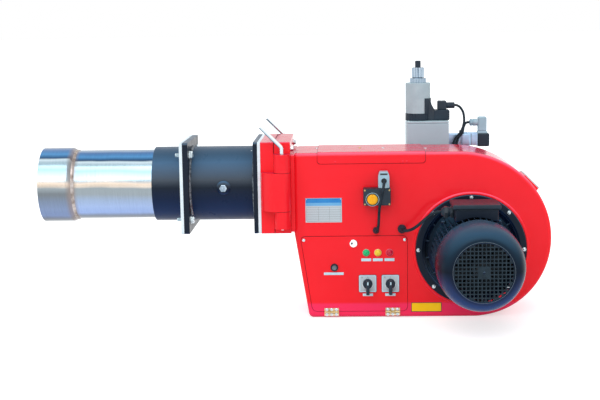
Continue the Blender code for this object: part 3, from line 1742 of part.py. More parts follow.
def make_gas_line():
    half = PIPE_FLANGE / 2
    flange_low = VALVE_LEFT - GAP - FLANGE_PLATE
    wall_flange = FACE + GAP
    centre = (ELBOW_X + ELBOW_BEND, VALVE_Y - ELBOW_BEND)
    bend = arc(centre, ELBOW_BEND, 90, 180, 6)
    route = [
        (flange_low + FLANGE_PLATE / 2, VALVE_Y, PIPE_Z),
        *[(x, y, PIPE_Z) for x, y in bend],
        (ELBOW_X, wall_flange + 0.004, PIPE_Z),
    ]
    elbow = tube("gas_elbow", BLACK_PAINT, route, PIPE_RADIUS, 4)
    valve_flange = box(
        "elbow_valve_flange",
        BLACK_PAINT,
        (flange_low, VALVE_Y - half, PIPE_Z - half),
        (flange_low + FLANGE_PLATE, VALVE_Y + half, PIPE_Z + half),
    )
    wall_plate = outline(
        "elbow_wall_flange",
        BLACK_PAINT,
        "y",
        wall_flange,
        wall_flange + 0.008,
        rounded(rectangle(0.086, 0.072, (ELBOW_X, PIPE_Z)), 0.008, 2),
    )
    join(elbow, valve_flange, wall_plate)

    manifold = [
        (ELBOW_X, FACE - GAP, PIPE_Z),
        (ELBOW_X, 0.085, PIPE_Z),
        (ELBOW_X, 0.066, PIPE_Z),
        (ELBOW_X - 0.008, 0.040, PIPE_Z - 0.003),
        (ELBOW_X - 0.032, 0.012, PIPE_Z - 0.012),
        (ELBOW_X - 0.068, 0.001, PIPE_Z - 0.026),
        (ELBOW_X - 0.105, 0, 0.004),
        (0.300, 0, 0),
        (0.272, 0, 0),
        (FRAME_SEAM_X + 3 * GAP, 0, 0),
    ]
    tube("gas_manifold", BLACK_PAINT, smooth_route(manifold, 0.024), LANCE_RADIUS, 3)
    mouth = rod(
        "manifold_bore",
        BLACK_PAINT,
        "x",
        LANCE_RADIUS - LANCE_WALL,
        FRAME_SEAM_X - 0.01,
        FRAME_SEAM_X + 0.040,
        (0, 0),
        24,
    )
    cut(bpy.data.objects["gas_manifold"], mouth)


def make_valve():
    near, far = VALVE_Y - VALVE_DEPTH / 2, VALVE_Y + VALVE_DEPTH / 2
    block = box(
        "valve_block",
        VALVE_GREY,
        (VALVE_LEFT, near, VALVE_BOTTOM),
        (VALVE_RIGHT, far, VALVE_TOP),
        0.003,
        2,
    )
    half = PIPE_FLANGE / 2
    inlet = box(
        "gas_inlet_flange",
        VALVE_GREY,
        (VALVE_RIGHT - 0.001, VALVE_Y - half, PIPE_Z - half),
        (VALVE_RIGHT + FLANGE_PLATE, VALVE_Y + half, PIPE_Z + half),
    )
    bore = rod(
        "gas_inlet_bore",
        VALVE_GREY,
        "x",
        GAS_BORE,
        VALVE_RIGHT - 0.035,
        VALVE_RIGHT + FLANGE_PLATE + 0.01,
        (VALVE_Y, PIPE_Z),
        24,
    )
    join(block, inlet)
    cut(block, bore)

    seat = VALVE_TOP + GAP
    coil = turned(
        "solenoid_coil",
        VALVE_GREY,
        "z",
        [
            (0, NECK_TOP),
            (NECK_RADIUS - 0.001, NECK_TOP),
            (NECK_RADIUS, NECK_TOP - 0.001),
            (NECK_RADIUS, COIL_TOP),
            (COIL_RADIUS - 0.001, COIL_TOP),
            (COIL_RADIUS, COIL_TOP - 0.001),
            (COIL_RADIUS, COIL_RING_TOP),
            (COIL_RADIUS + 0.0006, COIL_RING_TOP - 0.0006),
            (COIL_RADIUS + 0.0006, seat),
            (0, seat),
        ],
        28,
        (COIL_X, VALVE_Y, 0),
        closed=False,
    )
    base = NECK_TOP + GAP
    flutes = []
    for i in range(12):
        for radius, offset in ((ADJUSTER_RADIUS, -0.32), (ADJUSTER_RADIUS, 0.32)):
            angle = math.tau * (i + offset) / 12
            flutes.append(
                (COIL_X + radius * math.cos(angle), VALVE_Y + radius * math.sin(angle))
            )
        notch = math.tau * (i + 0.5) / 12
        flutes.append(
            (
                COIL_X + (ADJUSTER_RADIUS - 0.002) * math.cos(notch),
                VALVE_Y + (ADJUSTER_RADIUS - 0.002) * math.sin(notch),
            )
        )
    adjuster = outline("flow_adjuster", DIE_CAST, "z", base, ADJUSTER_TOP, flutes)
    cap = rod(
        "adjuster_cap",
        BLACK_PLASTIC,
        "z",
        CAP_RADIUS,
        ADJUSTER_TOP - 0.001,
        CAP_TOP,
        (COIL_X, VALVE_Y),
        16,
    )
    join(adjuster, cap)
    carry(axis_mark("adjuster_axis", (COIL_X, VALVE_Y, NECK_TOP)), adjuster)
    make_valve_connector(coil, seat)


def make_valve_connector(coil, seat):
    """The connector strap beside the coil, with its box and the plug on the box."""
    near, far = VALVE_Y - 0.024, VALVE_Y + 0.024
    box_left, box_right, box_top = COIL_X + 0.0422, COIL_X + 0.0862, seat + 0.0282
    root, foot, strap_top = box_left + 0.004, seat + GAP, box_top + 0.0305
    side = [
        (root, foot),
        (COIL_X + 0.0187, foot),
        (COIL_X + 0.0187, strap_top),
        (COIL_X + 0.0282, strap_top),
        (root, box_top - 0.001),
    ]
    connector = box(
        "valve_connector", BLACK_PLASTIC, (box_left, near, seat), (box_right, far, box_top), 0.002, 1
    )
    strap = outline("connector_strap", BLACK_PLASTIC, "y", near + 0.001, far - 0.001, side)
    clear = rod(
        "coil_clearance",
        BLACK_PLASTIC,
        "z",
        COIL_RADIUS + 0.0006 + 2 * GAP,
        seat - 0.01,
        strap_top + 0.011,
        (COIL_X, VALVE_Y),
        28,
    )
    cut(strap, clear)
    plug_left, plug_right, plug_top = COIL_X + 0.0537, COIL_X + 0.0787, box_top + 0.025
    plug = box(
        "valve_plug",
        BLACK_PLASTIC,
        (plug_left, VALVE_Y - 0.013, box_top - 0.001),
        (plug_right, VALVE_Y + 0.013, plug_top),
        0.0035,
        2,
    )
    gland_z = VALVE_PLUG_AT[1]
    gland = rod(
        "valve_plug_gland",
        BLACK_PLASTIC,
        "x",
        0.0085,
        plug_right - 0.002,
        VALVE_PLUG_AT[0] - GAP,
        (VALVE_Y, gland_z),
        12,
    )
    join(connector, strap, plug, gland)


def make_pilot_valve():
    """Second solenoid valve on the block's side, with its coil end and plug."""
    left, joint, right = VALVE_RIGHT + GAP, 0.804, 0.837
    low, top = PIPE_Z + PIPE_FLANGE / 2 + 0.002, 0.108
    near, far = 0.172, 0.208
    body = box("pilot_valve", DIE_CAST, (left, near, low), (joint, far, top), 0.0015, 1)
    coil = box(
        "pilot_coil",
        BLACK_PLASTIC,
        (joint - 0.001, near - 0.003, low - 0.004),
        (right, far + 0.003, top + 0.001),
        0.004,
        2,
    )
    plug = box(
        "pilot_plug", PLUG_GREY, (0.8045, 0.177, top - 0.004), (0.8300, 0.203, 0.155), 0.004, 2
    )
    gland = rod(
        "pilot_plug_gland", PLUG_GREY, "x", 0.0105, 0.7817 + GAP, 0.806, (0.190, 0.139), 12
    )
    join(body, coil, plug, gland)


def build():
    make_nozzle()
    make_tube()
    make_sleeve()
    make_flanges()
    frame_start = make_hinge_flange()
    make_hinge_frame(frame_start)
    swing = make_swing_frame()
    make_pins()
    make_lance()
    make_diffuser()
    make_electrode()
    casing = make_casing()
    make_inspection_lid()
    dish = make_motor_plate()
    make_motor(dish)
    make_cowl()
    make_rotor()
    make_door()
    make_pressure_switch()
    make_casing_glands()
    make_cables()
    make_control_board()
    make_intake()
    make_gas_line()
    make_valve()
    make_pilot_valve()
    carry(axis_mark("swing_axis", (PIN_X, -PIN_Y, 0)), swing, casing)


build()
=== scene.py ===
"""Looks of the gas burner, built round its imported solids."""

import json
import math

import bmesh
import bpy
from mathutils import Matrix, Vector

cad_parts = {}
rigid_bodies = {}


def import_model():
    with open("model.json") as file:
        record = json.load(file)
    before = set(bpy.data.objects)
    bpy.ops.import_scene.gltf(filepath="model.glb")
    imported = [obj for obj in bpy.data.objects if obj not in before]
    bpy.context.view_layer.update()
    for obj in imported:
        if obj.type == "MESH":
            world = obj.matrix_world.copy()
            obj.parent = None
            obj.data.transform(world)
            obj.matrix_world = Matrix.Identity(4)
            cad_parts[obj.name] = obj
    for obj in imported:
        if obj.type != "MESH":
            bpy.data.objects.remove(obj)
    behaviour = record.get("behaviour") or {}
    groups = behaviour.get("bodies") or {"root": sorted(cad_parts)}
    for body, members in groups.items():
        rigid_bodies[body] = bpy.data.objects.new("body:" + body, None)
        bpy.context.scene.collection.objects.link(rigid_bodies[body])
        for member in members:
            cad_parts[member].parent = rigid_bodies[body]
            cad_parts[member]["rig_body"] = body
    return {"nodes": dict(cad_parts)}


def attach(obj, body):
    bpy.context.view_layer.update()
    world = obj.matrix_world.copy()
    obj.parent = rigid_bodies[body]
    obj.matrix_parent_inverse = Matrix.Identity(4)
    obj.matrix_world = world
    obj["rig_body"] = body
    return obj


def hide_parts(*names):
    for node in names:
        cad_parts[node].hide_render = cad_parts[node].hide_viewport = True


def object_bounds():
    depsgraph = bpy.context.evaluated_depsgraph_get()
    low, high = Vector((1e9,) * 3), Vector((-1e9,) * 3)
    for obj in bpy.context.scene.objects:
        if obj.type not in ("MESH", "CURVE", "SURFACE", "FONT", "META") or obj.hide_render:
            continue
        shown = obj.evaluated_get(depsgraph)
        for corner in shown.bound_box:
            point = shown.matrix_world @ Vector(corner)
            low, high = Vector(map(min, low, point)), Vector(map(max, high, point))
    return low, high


for old in list(bpy.data.objects):
    bpy.data.objects.remove(old)

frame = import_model()
cad_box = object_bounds()

HEAD, FAN, DOOR = "burner_head", "fan_casing", "control_door"
# Lengths are in millimetres, but for those of the camera, the studio, the materials and the tolerances.
# Axes of the motor and the coil, the casing's face, the door's face, the casing's top and base, its duct.
MOTOR = (758, 0, -169.6)
COIL = (635.8, 158, 0)
FACE, DOOR_FACE = 100, 101.8
TOP, BASE = 88, -351
DUCT_RADIUS = 148
FACING = {"x": Matrix(((0, 0, 1), (1, 0, 0), (0, 1, 0))), "-x": Matrix(((0, 0, -1), (-1, 0, 0), (0, 1, 0))),
    "front": Matrix(((1, 0, 0), (0, 0, -1), (0, 1, 0))), "back": Matrix(((-1, 0, 0), (0, 0, 1), (0, 1, 0))),
    "z": Matrix.Identity(3)}


def link(name, data):
    made = bpy.data.objects.new(name, data)
    bpy.context.scene.collection.objects.link(made)
    return made


# Camera and studio


def make_camera():
    yaw, pitch, roll = -0.037, 0.1474, -0.0158
    ahead = Vector((math.sin(yaw) * math.cos(pitch), math.cos(yaw) * math.cos(pitch), -math.sin(pitch)))
    level = Vector((math.cos(yaw), -math.sin(yaw), 0))
    upright = level.cross(ahead)
    right = math.cos(roll) * level + math.sin(roll) * upright
    up = -math.sin(roll) * level + math.cos(roll) * upright
    data = bpy.data.cameras.new("camera")
    data.sensor_width = 36
    data.lens = 72.14
    data.clip_start, data.clip_end = 0.05, 200
    camera = link("camera", data)
    turn = Matrix((right, up, -ahead)).transposed().to_4x4()
    camera.matrix_world = Matrix.Translation((0.4270, -3.2102, 0.4276)) @ turn
    bpy.context.scene.camera = camera
    bpy.context.scene.view_settings.view_transform = "Standard"


def node(tree, kind, links=(), **settings):
    made = tree.nodes.new("ShaderNode" + kind)
    for key, value in settings.items():
        setattr(made, key, value)
    for key, value in dict(links).items():
        if isinstance(value, bpy.types.NodeSocket):
            tree.links.new(value, made.inputs[key])
        else:
            made.inputs[key].default_value = value
    return made


def calc(tree, operation, *values):
    return node(tree, "Math", enumerate(values), operation=operation).outputs[0]


def remap(tree, value, low, high, bottom=0.0, top=1.0):
    """Low to high of the value spread over bottom to top."""
    links = {"Value": value, "From Min": low, "From Max": high, "To Min": bottom, "To Max": top}
    return node(tree, "MapRange", links).outputs["Result"]


def mixed(tree, factor, first, second, **settings):
    return node(tree, "Mix", {"Factor": factor, 6: first, 7: second}, data_type="RGBA", **settings).outputs[2]


def ramp(tree, factor, *stops, alpha=False):
    made = node(tree, "ValToRGB", {"Fac": factor})
    elements = made.color_ramp.elements
    while len(elements) < len(stops):
        elements.new(0.5)
    for element, (position, colour) in zip(elements, stops):
        element.position = position
        element.color = colour if len(colour) == 4 else (*colour, 1)
    return made.outputs["Alpha" if alpha else "Color"]


def object_place(tree):
    return node(tree, "TexCoord").outputs["Object"]


def split(tree, vector, axis):
    return node(tree, "SeparateXYZ", {0: vector}).outputs[axis]


def emptied(holder):
    """The node tree of a world or material, with no nodes in it."""
    holder.use_nodes = True
    holder.node_tree.nodes.clear()
    return holder.node_tree


def seen_directly(tree, unseen, seen):
    """The second shader for camera, glossy and transmission rays, else the first."""
    path = node(tree, "LightPath").outputs
    total = calc(tree, "MAXIMUM", path["Is Camera Ray"], path["Is Glossy Ray"])
    share = calc(tree, "MAXIMUM", total, path["Is Transmission Ray"])
    return node(tree, "MixShader", {0: share, 1: unseen.outputs[0], 2: seen.outputs[0]}).outputs[0]


def make_studio():
    world = bpy.data.worlds.new("studio")
    bpy.context.scene.world = world
    tree = emptied(world)
    light = node(tree, "Background", {"Color": (0.93, 0.97, 1, 1), "Strength": 0.80})
    white = node(tree, "Background", {"Color": (1, 1, 1, 1), "Strength": 1.0})
    node(tree, "OutputWorld", {"Surface": seen_directly(tree, light, white)})

    mesh = bpy.data.meshes.new("floor")
    reach = 60
    corners = [(-reach, -reach, 0), (reach, -reach, 0), (reach, reach, 0), (-reach, reach, 0)]
    mesh.from_pydata(corners, [], [(0, 1, 2, 3)])
    floor = link("floor", mesh)
    floor.location.z = cad_box[0].z - 0.0005
    material = bpy.data.materials.new("floor")
    tree = emptied(material)
    speckle = node(tree, "TexNoise", {"Vector": object_place(tree), "Scale": 3.0}).outputs["Fac"]
    tone = ramp(tree, speckle, (0.3, (0.80, 0.80, 0.80)), (0.7, (0.82, 0.82, 0.82)))
    matt = node(tree, "BsdfDiffuse", {"Color": tone})
    glow = node(tree, "Emission", {"Color": (1, 1, 1, 1), "Strength": 0.54})
    lit = node(tree, "AddShader", {0: matt.outputs[0], 1: glow.outputs[0]})
    node(tree, "OutputMaterial", {"Surface": seen_directly(tree, matt, lit)})
    mesh.materials.append(material)

    for name, strength, spread, turn in (("key", 1.15, 50, (48, 0, -22)), ("fill", 0.35, 70, (62, 0, 35)),
            ("back", 0.30, 60, (-40, 0, 10))):
        data = bpy.data.lights.new(name, "SUN")
        data.energy = strength
        data.angle = math.radians(spread)
        data.specular_factor = 0.35
        link(name, data).rotation_euler = [math.radians(a) for a in turn]


# Materials


def spread(tree, factor, low, high):
    return remap(tree, factor, 0.3, 0.7, low, high)


def grain(tree, where, scale, detail=3.0, stretch=(1, 1, 1)):
    mapped = node(tree, "Mapping", {"Vector": where, "Scale": stretch}).outputs["Vector"]
    links = {"Vector": mapped, "Scale": scale, "Detail": detail, "Roughness": 0.6}
    return node(tree, "TexNoise", links).outputs["Fac"]


def surface(name, dark, light, rough, metal=0.0, patch=7.0, bumps=(), slot=None, gloss=0.5, stretch=(1, 1, 1),
        worn_and_glinting_edges=None, tone=None, low_reflection_tint=None, **sockets):
    """Two mottled tones, mottled roughness, and layers of bump as (scale, strength, depth).

    The tone holds (level, colour with its share) of painted highlight and shade, by how far a face looks down or up.
    The slot is not used.
    """
    material = bpy.data.materials.new(name)
    material.use_nodes = True
    tree = material.node_tree
    shader = tree.nodes["Principled BSDF"]
    where = object_place(tree)
    mottle = grain(tree, where, patch, 4.0, stretch)
    colour = ramp(tree, mottle, (0.32, dark), (0.68, light))
    # Lighter edges by pointiness: part wear, part painted edge highlight.
    if worn_and_glinting_edges:
        edge = node(tree, "NewGeometry").outputs["Pointiness"]
        colour = mixed(tree, remap(tree, edge, 0.53, 0.62, 0.0, 0.5), colour, (*worn_and_glinting_edges, 1))
    # Painted reflection: a pinker tint on what lies lowest, below z = -0.309 m.
    if low_reflection_tint:
        near = remap(tree, split(tree, where, "Z"), -0.309, -0.315, 0.0, 0.85)
        colour = mixed(tree, near, colour, (*low_reflection_tint, 1))
    # Painted highlight, reflection and shade, by how far a face looks up or down.
    if tone:
        normal = node(tree, "NewGeometry").outputs["Normal"]
        level = remap(tree, split(tree, normal, "Z"), -1.0, 1.0)
        share = ramp(tree, level, *tone, alpha=True)
        colour = mixed(tree, share, colour, ramp(tree, level, *tone))
    tree.links.new(colour, shader.inputs["Base Color"])
    finer = grain(tree, where, patch * 9, 3.0, stretch)
    tree.links.new(spread(tree, finer, *rough), shader.inputs["Roughness"])
    normal = None
    for scale, strength, *depth in bumps:
        links = {"Height": grain(tree, where, scale, 2.0, stretch), "Strength": strength}
        links["Distance"] = depth[0] if depth else 0.0002
        if normal:
            links["Normal"] = normal
        normal = node(tree, "Bump", links).outputs["Normal"]
    if normal:
        tree.links.new(normal, shader.inputs["Normal"])
    for key, value in {"Metallic": metal, "Specular IOR Level": gloss, **sockets}.items():
        shader.inputs[key.replace("_", " ")].default_value = value
    return material


def stainless_with_painted_reflections():
    """Rolled stainless sheet: painted reflections in soft bands along the tube, fine lines round it, and heat tint.
    """
    material = bpy.data.materials.new("stainless")
    material.use_nodes = True
    tree = material.node_tree
    shader = tree.nodes["Principled BSDF"]
    where = object_place(tree)
    along = split(tree, where, "X")
    shift = spread(tree, grain(tree, where, 5.0, 3.0, (0.7, 1, 1)), -0.035, 0.035)
    wider = remap(tree, along, -0.300, -0.2925, 0.90 / 0.0993, 1 / 0.0993)
    level = calc(tree, "MULTIPLY", split(tree, where, "Z"), wider)
    height = remap(tree, calc(tree, "ADD", level, shift), -1.0, 1.0)
    # Painted reflections: coloured bands by height round the tube, wavering with noise.
    reflection_bands = ramp(tree, height, (0.07, (0.10, 0.12, 0.15)), (0.11, (0.14, 0.17, 0.23)), (0.16, (0.26, 0.36, 0.62)),
        (0.25, (0.31, 0.41, 0.64)), (0.34, (0.28, 0.36, 0.50)), (0.42, (0.26, 0.30, 0.33)),
        (0.50, (0.26, 0.30, 0.32)), (0.53, (0.72, 0.62, 0.52)), (0.56, (0.98, 0.82, 0.68)),
        (0.60, (0.42, 0.54, 0.62)), (0.72, (0.20, 0.32, 0.40)), (0.80, (0.42, 0.57, 0.66)),
        (0.828, (0.70, 0.85, 0.93)), (0.848, (0.03, 0.08, 0.17)), (0.89, (0.07, 0.23, 0.46)),
        (0.935, (0.025, 0.11, 0.28)), (0.97, (0.24, 0.34, 0.42)))
    # Painted shade: the nozzle's lower half is darkened.
    low = remap(tree, height, 0.50, 0.44, 0.0, 0.42)
    dim = calc(tree, "MULTIPLY", remap(tree, along, -0.2925, -0.300), low)
    reflection_bands = mixed(tree, dim, reflection_bands, (0.02, 0.02, 0.03, 1))
    lines = grain(tree, where, 160.0, 3.0, (6.0, 0.12, 0.12))
    shades = ramp(tree, lines, (0.3, (0.1, 0.1, 0.1)), (0.7, (1, 1, 1)))
    shade = mixed(tree, 0.10, reflection_bands, shades, blend_type="OVERLAY")
    away = calc(tree, "ABSOLUTE", calc(tree, "ADD", along, 0.2925))
    near = remap(tree, away, 0.004, 0.016, 0.75, 0.0)
    tree.links.new(mixed(tree, near, shade, (0.24, 0.19, 0.17, 1)), shader.inputs["Base Color"])
    tree.links.new(spread(tree, lines, 0.14, 0.22), shader.inputs["Roughness"])
    shader.inputs["Metallic"].default_value = 1.0
    bump = node(tree, "Bump", {"Height": lines, "Strength": 0.08, "Distance": 0.0002})
    tree.links.new(bump.outputs["Normal"], shader.inputs["Normal"])
    return material


# Painted light on the red: pink highlights on rounded edges, darker red on flat tops and bottoms, pinker low down.
RED = surface("red_paint", (0.88, 0.012, 0.021), (0.94, 0.017, 0.029), (0.12, 0.2), 0, 4,
    ((900, 0.05), (14, 0.12, 0.001)), gloss=0.14, tone=((0.0, (0.55, 0.01, 0.06, 0.5)),
    (0.15, (0.9, 0.03, 0.15, 0.8)), (0.4, (0.92, 0.02, 0.05, 0.0)), (0.6, (0.95, 0.05, 0.08, 0.0)),
    (0.78, (0.96, 0.1, 0.19, 0.8)), (0.9, (0.97, 0.16, 0.26, 0.9)), (0.975, (0.74, 0.05, 0.11, 0.8)),
    (1.0, (0.62, 0.022, 0.07, 0.85))), low_reflection_tint=(0.93, 0.03, 0.125))
# Painted reflections on the black: blue on faces looking up, navy on faces looking down.
BLACK = surface("black_paint", (0.004, 0.006, 0.009), (0.01, 0.014, 0.021), (0.26, 0.38), 0, 5,
    ((1400, 0.1), (20, 0.1, 0.0006)), gloss=0.1, tone=((0.0, (0.01, 0.03, 0.09)), (0.15, (0.008, 0.028, 0.1)),
    (0.345, (0.006, 0.016, 0.05)), (0.46, (0.008, 0.015, 0.034)), (0.5, (0.01, 0.018, 0.034, 0.7)),
    (0.6, (0.056, 0.072, 0.094)), (0.7, (0.056, 0.095, 0.15)), (0.825, (0.06, 0.13, 0.225)),
    (0.92, (0.034, 0.082, 0.145)), (1.0, (0.03, 0.072, 0.125))))
# Painted reflections on the enamel: blue on faces looking up, indigo on faces looking down, dark at the sides.
COWL = surface("black_enamel", (0.006, 0.01, 0.016), (0.013, 0.019, 0.03), (0.2, 0.28), 0, 3,
    ((1200, 0.05), (12, 0.1, 0.0008)), slot="black_paint", gloss=0.5, tone=((0.0, (0.022, 0.055, 0.16)),
    (0.15, (0.03, 0.066, 0.2)), (0.35, (0.024, 0.04, 0.11)), (0.5, (0.008, 0.013, 0.024)),
    (0.65, (0.012, 0.028, 0.048)), (0.8, (0.024, 0.058, 0.098)), (0.92, (0.03, 0.072, 0.125)),
    (1.0, (0.042, 0.068, 0.11))), IOR=1.1)
# Lighter edges on the plastic: part wear, part painted edge highlight.
PLASTIC = surface("black_plastic", (0.012, 0.024, 0.038), (0.02, 0.036, 0.055), (0.32, 0.44), 0, 20, ((1800, 0.12),),
    gloss=0.2, worn_and_glinting_edges=(0.05, 0.06, 0.07))
STAINLESS = stainless_with_painted_reflections()
WELD = surface("weld_bead", (0.16, 0.12, 0.1), (0.52, 0.47, 0.45), (0.2, 0.38), 1, 45, ((400, 0.25, 0.0005),),
    slot="stainless")
STEEL = surface("bright_steel", (0.5, 0.5, 0.52), (0.66, 0.67, 0.7), (0.18, 0.32), 1, 18, ((700, 0.1),), slot="zinc")
ZINC = surface("zinc", (0.46, 0.54, 0.58), (0.76, 0.86, 0.9), (0.2, 0.36), 1, 60, ((1500, 0.12),))
# Painted highlight on top of the pins, painted shade underneath.
PIN = surface("pin_steel", (0.5, 0.56, 0.6), (0.62, 0.68, 0.72), (0.14, 0.26), 1, 60, ((900, 0.08),), slot="zinc",
    tone=((0.0, (0.02, 0.06, 0.1)), (0.16, (0.04, 0.1, 0.15)), (0.3, (0.3, 0.4, 0.46)), (0.5, (0.6, 0.69, 0.74)),
    (0.72, (0.88, 0.93, 0.95)), (1.0, (0.7, 0.8, 0.85))))
CHROME = surface("chrome", (0.78, 0.8, 0.83), (0.9, 0.91, 0.94), (0.06, 0.12), 1, 90, ((500, 0.04),), slot="zinc")
GASKET = surface("gasket", (0.66, 0.77, 0.83), (0.78, 0.87, 0.92), (0.75, 0.95), 0, 40,
    ((700, 0.5, 0.0006), (120, 0.35, 0.001)), Sheen_Weight=0.2)
# Brighter edges on the brass: part rubbed metal, part painted edge highlight.
BRASS = surface("brass", (0.36, 0.24, 0.09), (0.6, 0.44, 0.2), (0.24, 0.42), 1, 70, ((900, 0.12),),
    worn_and_glinting_edges=(0.95, 0.85, 0.6))
# Lighter edges on the grey paint: part wear, part painted edge highlight.
VALVE = surface("valve_grey", (0.32, 0.46, 0.52), (0.38, 0.54, 0.6), (0.36, 0.5), 0, 6,
    ((1100, 0.14), (60, 0.05, 0.0006)), gloss=0.4, worn_and_glinting_edges=(0.62, 0.66, 0.68))
COIL_GREY = surface("coil_grey", (0.345, 0.455, 0.5), (0.405, 0.52, 0.56), (0.42, 0.58), 0, 30,
    ((700, 0.15, 0.0003),), slot="valve_grey")
CAST = surface("die_cast", (0.34, 0.52, 0.72), (0.48, 0.7, 0.92), (0.28, 0.42), 1, 30, ((900, 0.22, 0.0003),))
# Lighter edges on the plug: part wear, part painted edge highlight.
PLUG = surface("plug_grey", (0.27, 0.42, 0.5), (0.35, 0.53, 0.64), (0.36, 0.48), 0, 16, ((1500, 0.12),),
    worn_and_glinting_edges=(0.62, 0.67, 0.7))
DIAL = surface("dial_yellow", (0.9, 0.4, 0.01), (0.97, 0.5, 0.02), (0.26, 0.38), 0, 40, ((1200, 0.08),), gloss=0.2)
LAMPS = {name: surface("lamp_" + name, dark, light, (0.08, 0.16), 0, 160, ((420, 0.3, 0.0006),), gloss=0.3)
    for name, dark, light in (("green", (0.0, 0.34, 0.1), (0.01, 0.58, 0.21)),
    ("yellow", (0.74, 0.5, 0.012), (0.94, 0.72, 0.06)), ("red", (0.46, 0.004, 0.028), (0.72, 0.018, 0.07)))}
LAMP_CORES = {name: surface(f"lamp_{name}_core", dark, light, (0.2, 0.3), 0, 300, ((900, 0.2),),
    slot="lamp_" + name, gloss=0.2) for name, dark, light in (("green", (0.0, 0.05, 0.012), (0.0, 0.1, 0.03)),
    ("yellow", (0.25, 0.12, 0.002), (0.4, 0.22, 0.01)), ("red", (0.08, 0.001, 0.003), (0.16, 0.004, 0.008)))}
# Lamp bezels, pale and tinted by their lamp as a painted highlight.
RIMS = {name: surface(f"lamp_{name}_rim", dark, light, (0.1, 0.2), 0, 200, ((900, 0.1),), slot="lamp_" + name)
    for name, dark, light in (("green", (0.1, 0.42, 0.24), (0.5, 0.72, 0.6)),
    ("yellow", (0.72, 0.56, 0.16), (0.9, 0.8, 0.5)), ("red", (0.66, 0.06, 0.14), (0.84, 0.3, 0.4)))}
CERAMIC = surface("ceramic", (0.8, 0.78, 0.7), (0.9, 0.88, 0.82), (0.2, 0.35), 0, 50, ((300, 0.1, 0.0003),))
RUBBER = surface("cable", (0.01, 0.018, 0.026), (0.022, 0.038, 0.052), (0.3, 0.46), 0, 60, ((900, 0.15),),
    slot="black_plastic", gloss=0.5, IOR=1.2)
LABEL = surface("label_white", (0.46, 0.68, 0.78), (0.58, 0.78, 0.87), (0.3, 0.45), 0, 60, ((800, 0.05),),
    slot="plug_grey", gloss=0.2)
# Painted shade: dark red strips set into the gaps between parts.
GAP_SHADE = surface("seam_shadow", (0.1, 0.004, 0.007), (0.16, 0.007, 0.011), (0.4, 0.6), 0, 40, ((900, 0.1),),
    slot="red_paint", gloss=0.1)
# Sleeve welds: dark burnt bead, its light patches painted glints.
WELD_BURN_AND_GLINTS = surface("sleeve_weld", (0.006, 0.01, 0.016), (0.3, 0.35, 0.4), (0.22, 0.4), 0.5, 110, ((500, 0.3, 0.0005),),
    slot="black_paint")
CAP = surface("cap_grey", (0.09, 0.12, 0.14), (0.16, 0.2, 0.23), (0.34, 0.46), 0, 60, ((900, 0.1),),
    slot="black_paint", gloss=0.3)
NECK = surface("turned_alloy", (0.2, 0.27, 0.34), (0.46, 0.55, 0.64), (0.18, 0.3), 1, 30, ((700, 0.1),),
    slot="die_cast", stretch=(6, 6, 0.3))
SHAFT = surface("dark_steel", (0.03, 0.034, 0.04), (0.06, 0.066, 0.074), (0.35, 0.5), 0.9, 40, ((700, 0.1),))
FOIL = surface("silver_foil", (0.44, 0.51, 0.55), (0.54, 0.61, 0.65), (0.34, 0.46), 0, 9, ((900, 0.08),),
    slot="plug_grey", gloss=0.25, stretch=(0.2, 1, 3))
SKY = surface("plate_light_blue", (0.1, 0.36, 0.66), (0.16, 0.44, 0.74), (0.3, 0.42), 0, 12, ((900, 0.05),),
    slot="plug_grey", gloss=0.15)
BLUE = surface("plate_blue", (0.015, 0.15, 0.5), (0.04, 0.26, 0.62), (0.25, 0.36), 0, 12, ((900, 0.05),),
    slot="plug_grey", gloss=0.15)
YELLOW = surface("plate_yellow", (0.95, 0.58, 0.01), (1.0, 0.64, 0.02), (0.28, 0.4), 0, 14, ((900, 0.06),),
    slot="dial_yellow", gloss=0.12)
# Near-black for printed marks, and painted shade inside the keyway, the plug's slot and the plug's hole.
PRINT_AND_SHADE_BLACK = surface("print_and_shade_black", (0.004, 0.004, 0.005), (0.01, 0.01, 0.012), (0.5, 0.7), 0, 30, ((900, 0.1),),
    slot="black_plastic")
ALUMINIUM = surface("sheet_aluminium", (0.48, 0.48, 0.5), (0.62, 0.62, 0.64), (0.26, 0.4), 1, 20,
    ((600, 0.12, 0.0003),), slot="valve_grey")


# Building tools


def add(name, mesh, material):
    mesh.materials.clear()
    mesh.materials.append(material)
    return link(name, mesh)


def settle(solid, *stands, body=FAN, slot=None, smooth=35, weighted=True):
    """Shading, the body it rides on and the nodes that it stands for."""
    mesh = solid.data
    mesh.shade_smooth()
    mesh.set_sharp_from_angle(angle=math.radians(smooth))
    if weighted:
        solid.modifiers.new("normals", "WEIGHTED_NORMAL").keep_sharp = True
    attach(solid, body)
    if stands:
        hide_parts(*stands)
    return solid


def final_mesh(solid):
    """The mesh of an object with its modifiers applied and its place in it."""
    bpy.context.view_layer.update()
    graph = bpy.context.evaluated_depsgraph_get()
    mesh = bpy.data.meshes.new_from_object(solid.evaluated_get(graph))
    mesh.transform(solid.matrix_world)
    return mesh


def baked(solid):
    mesh = final_mesh(solid)
    solid.modifiers.clear()
    solid.data = mesh
    solid.matrix_world = Matrix.Identity(4)
    return solid


def metres(values):
    return [value / 1000 for value in values]


def standing(at, facing="z"):
    return Matrix.Translation(metres(at)) @ FACING[facing].to_4x4()


def placed(work, at=(0, 0, 0), facing="z"):
    """Shapes drawn in millimetres, brought to their place in metres."""
    matrix = standing(at, facing) @ Matrix.Scale(0.001, 4)
    bmesh.ops.transform(work, matrix=matrix, verts=work.verts)


def frozen(data, place=Matrix.Identity(4)):
    """The mesh of a curve or a text at its place."""
    shape = link(data.name + "_curve", data)
    shape.matrix_world = place
    mesh = final_mesh(shape)
    bpy.data.objects.remove(shape)
    return mesh


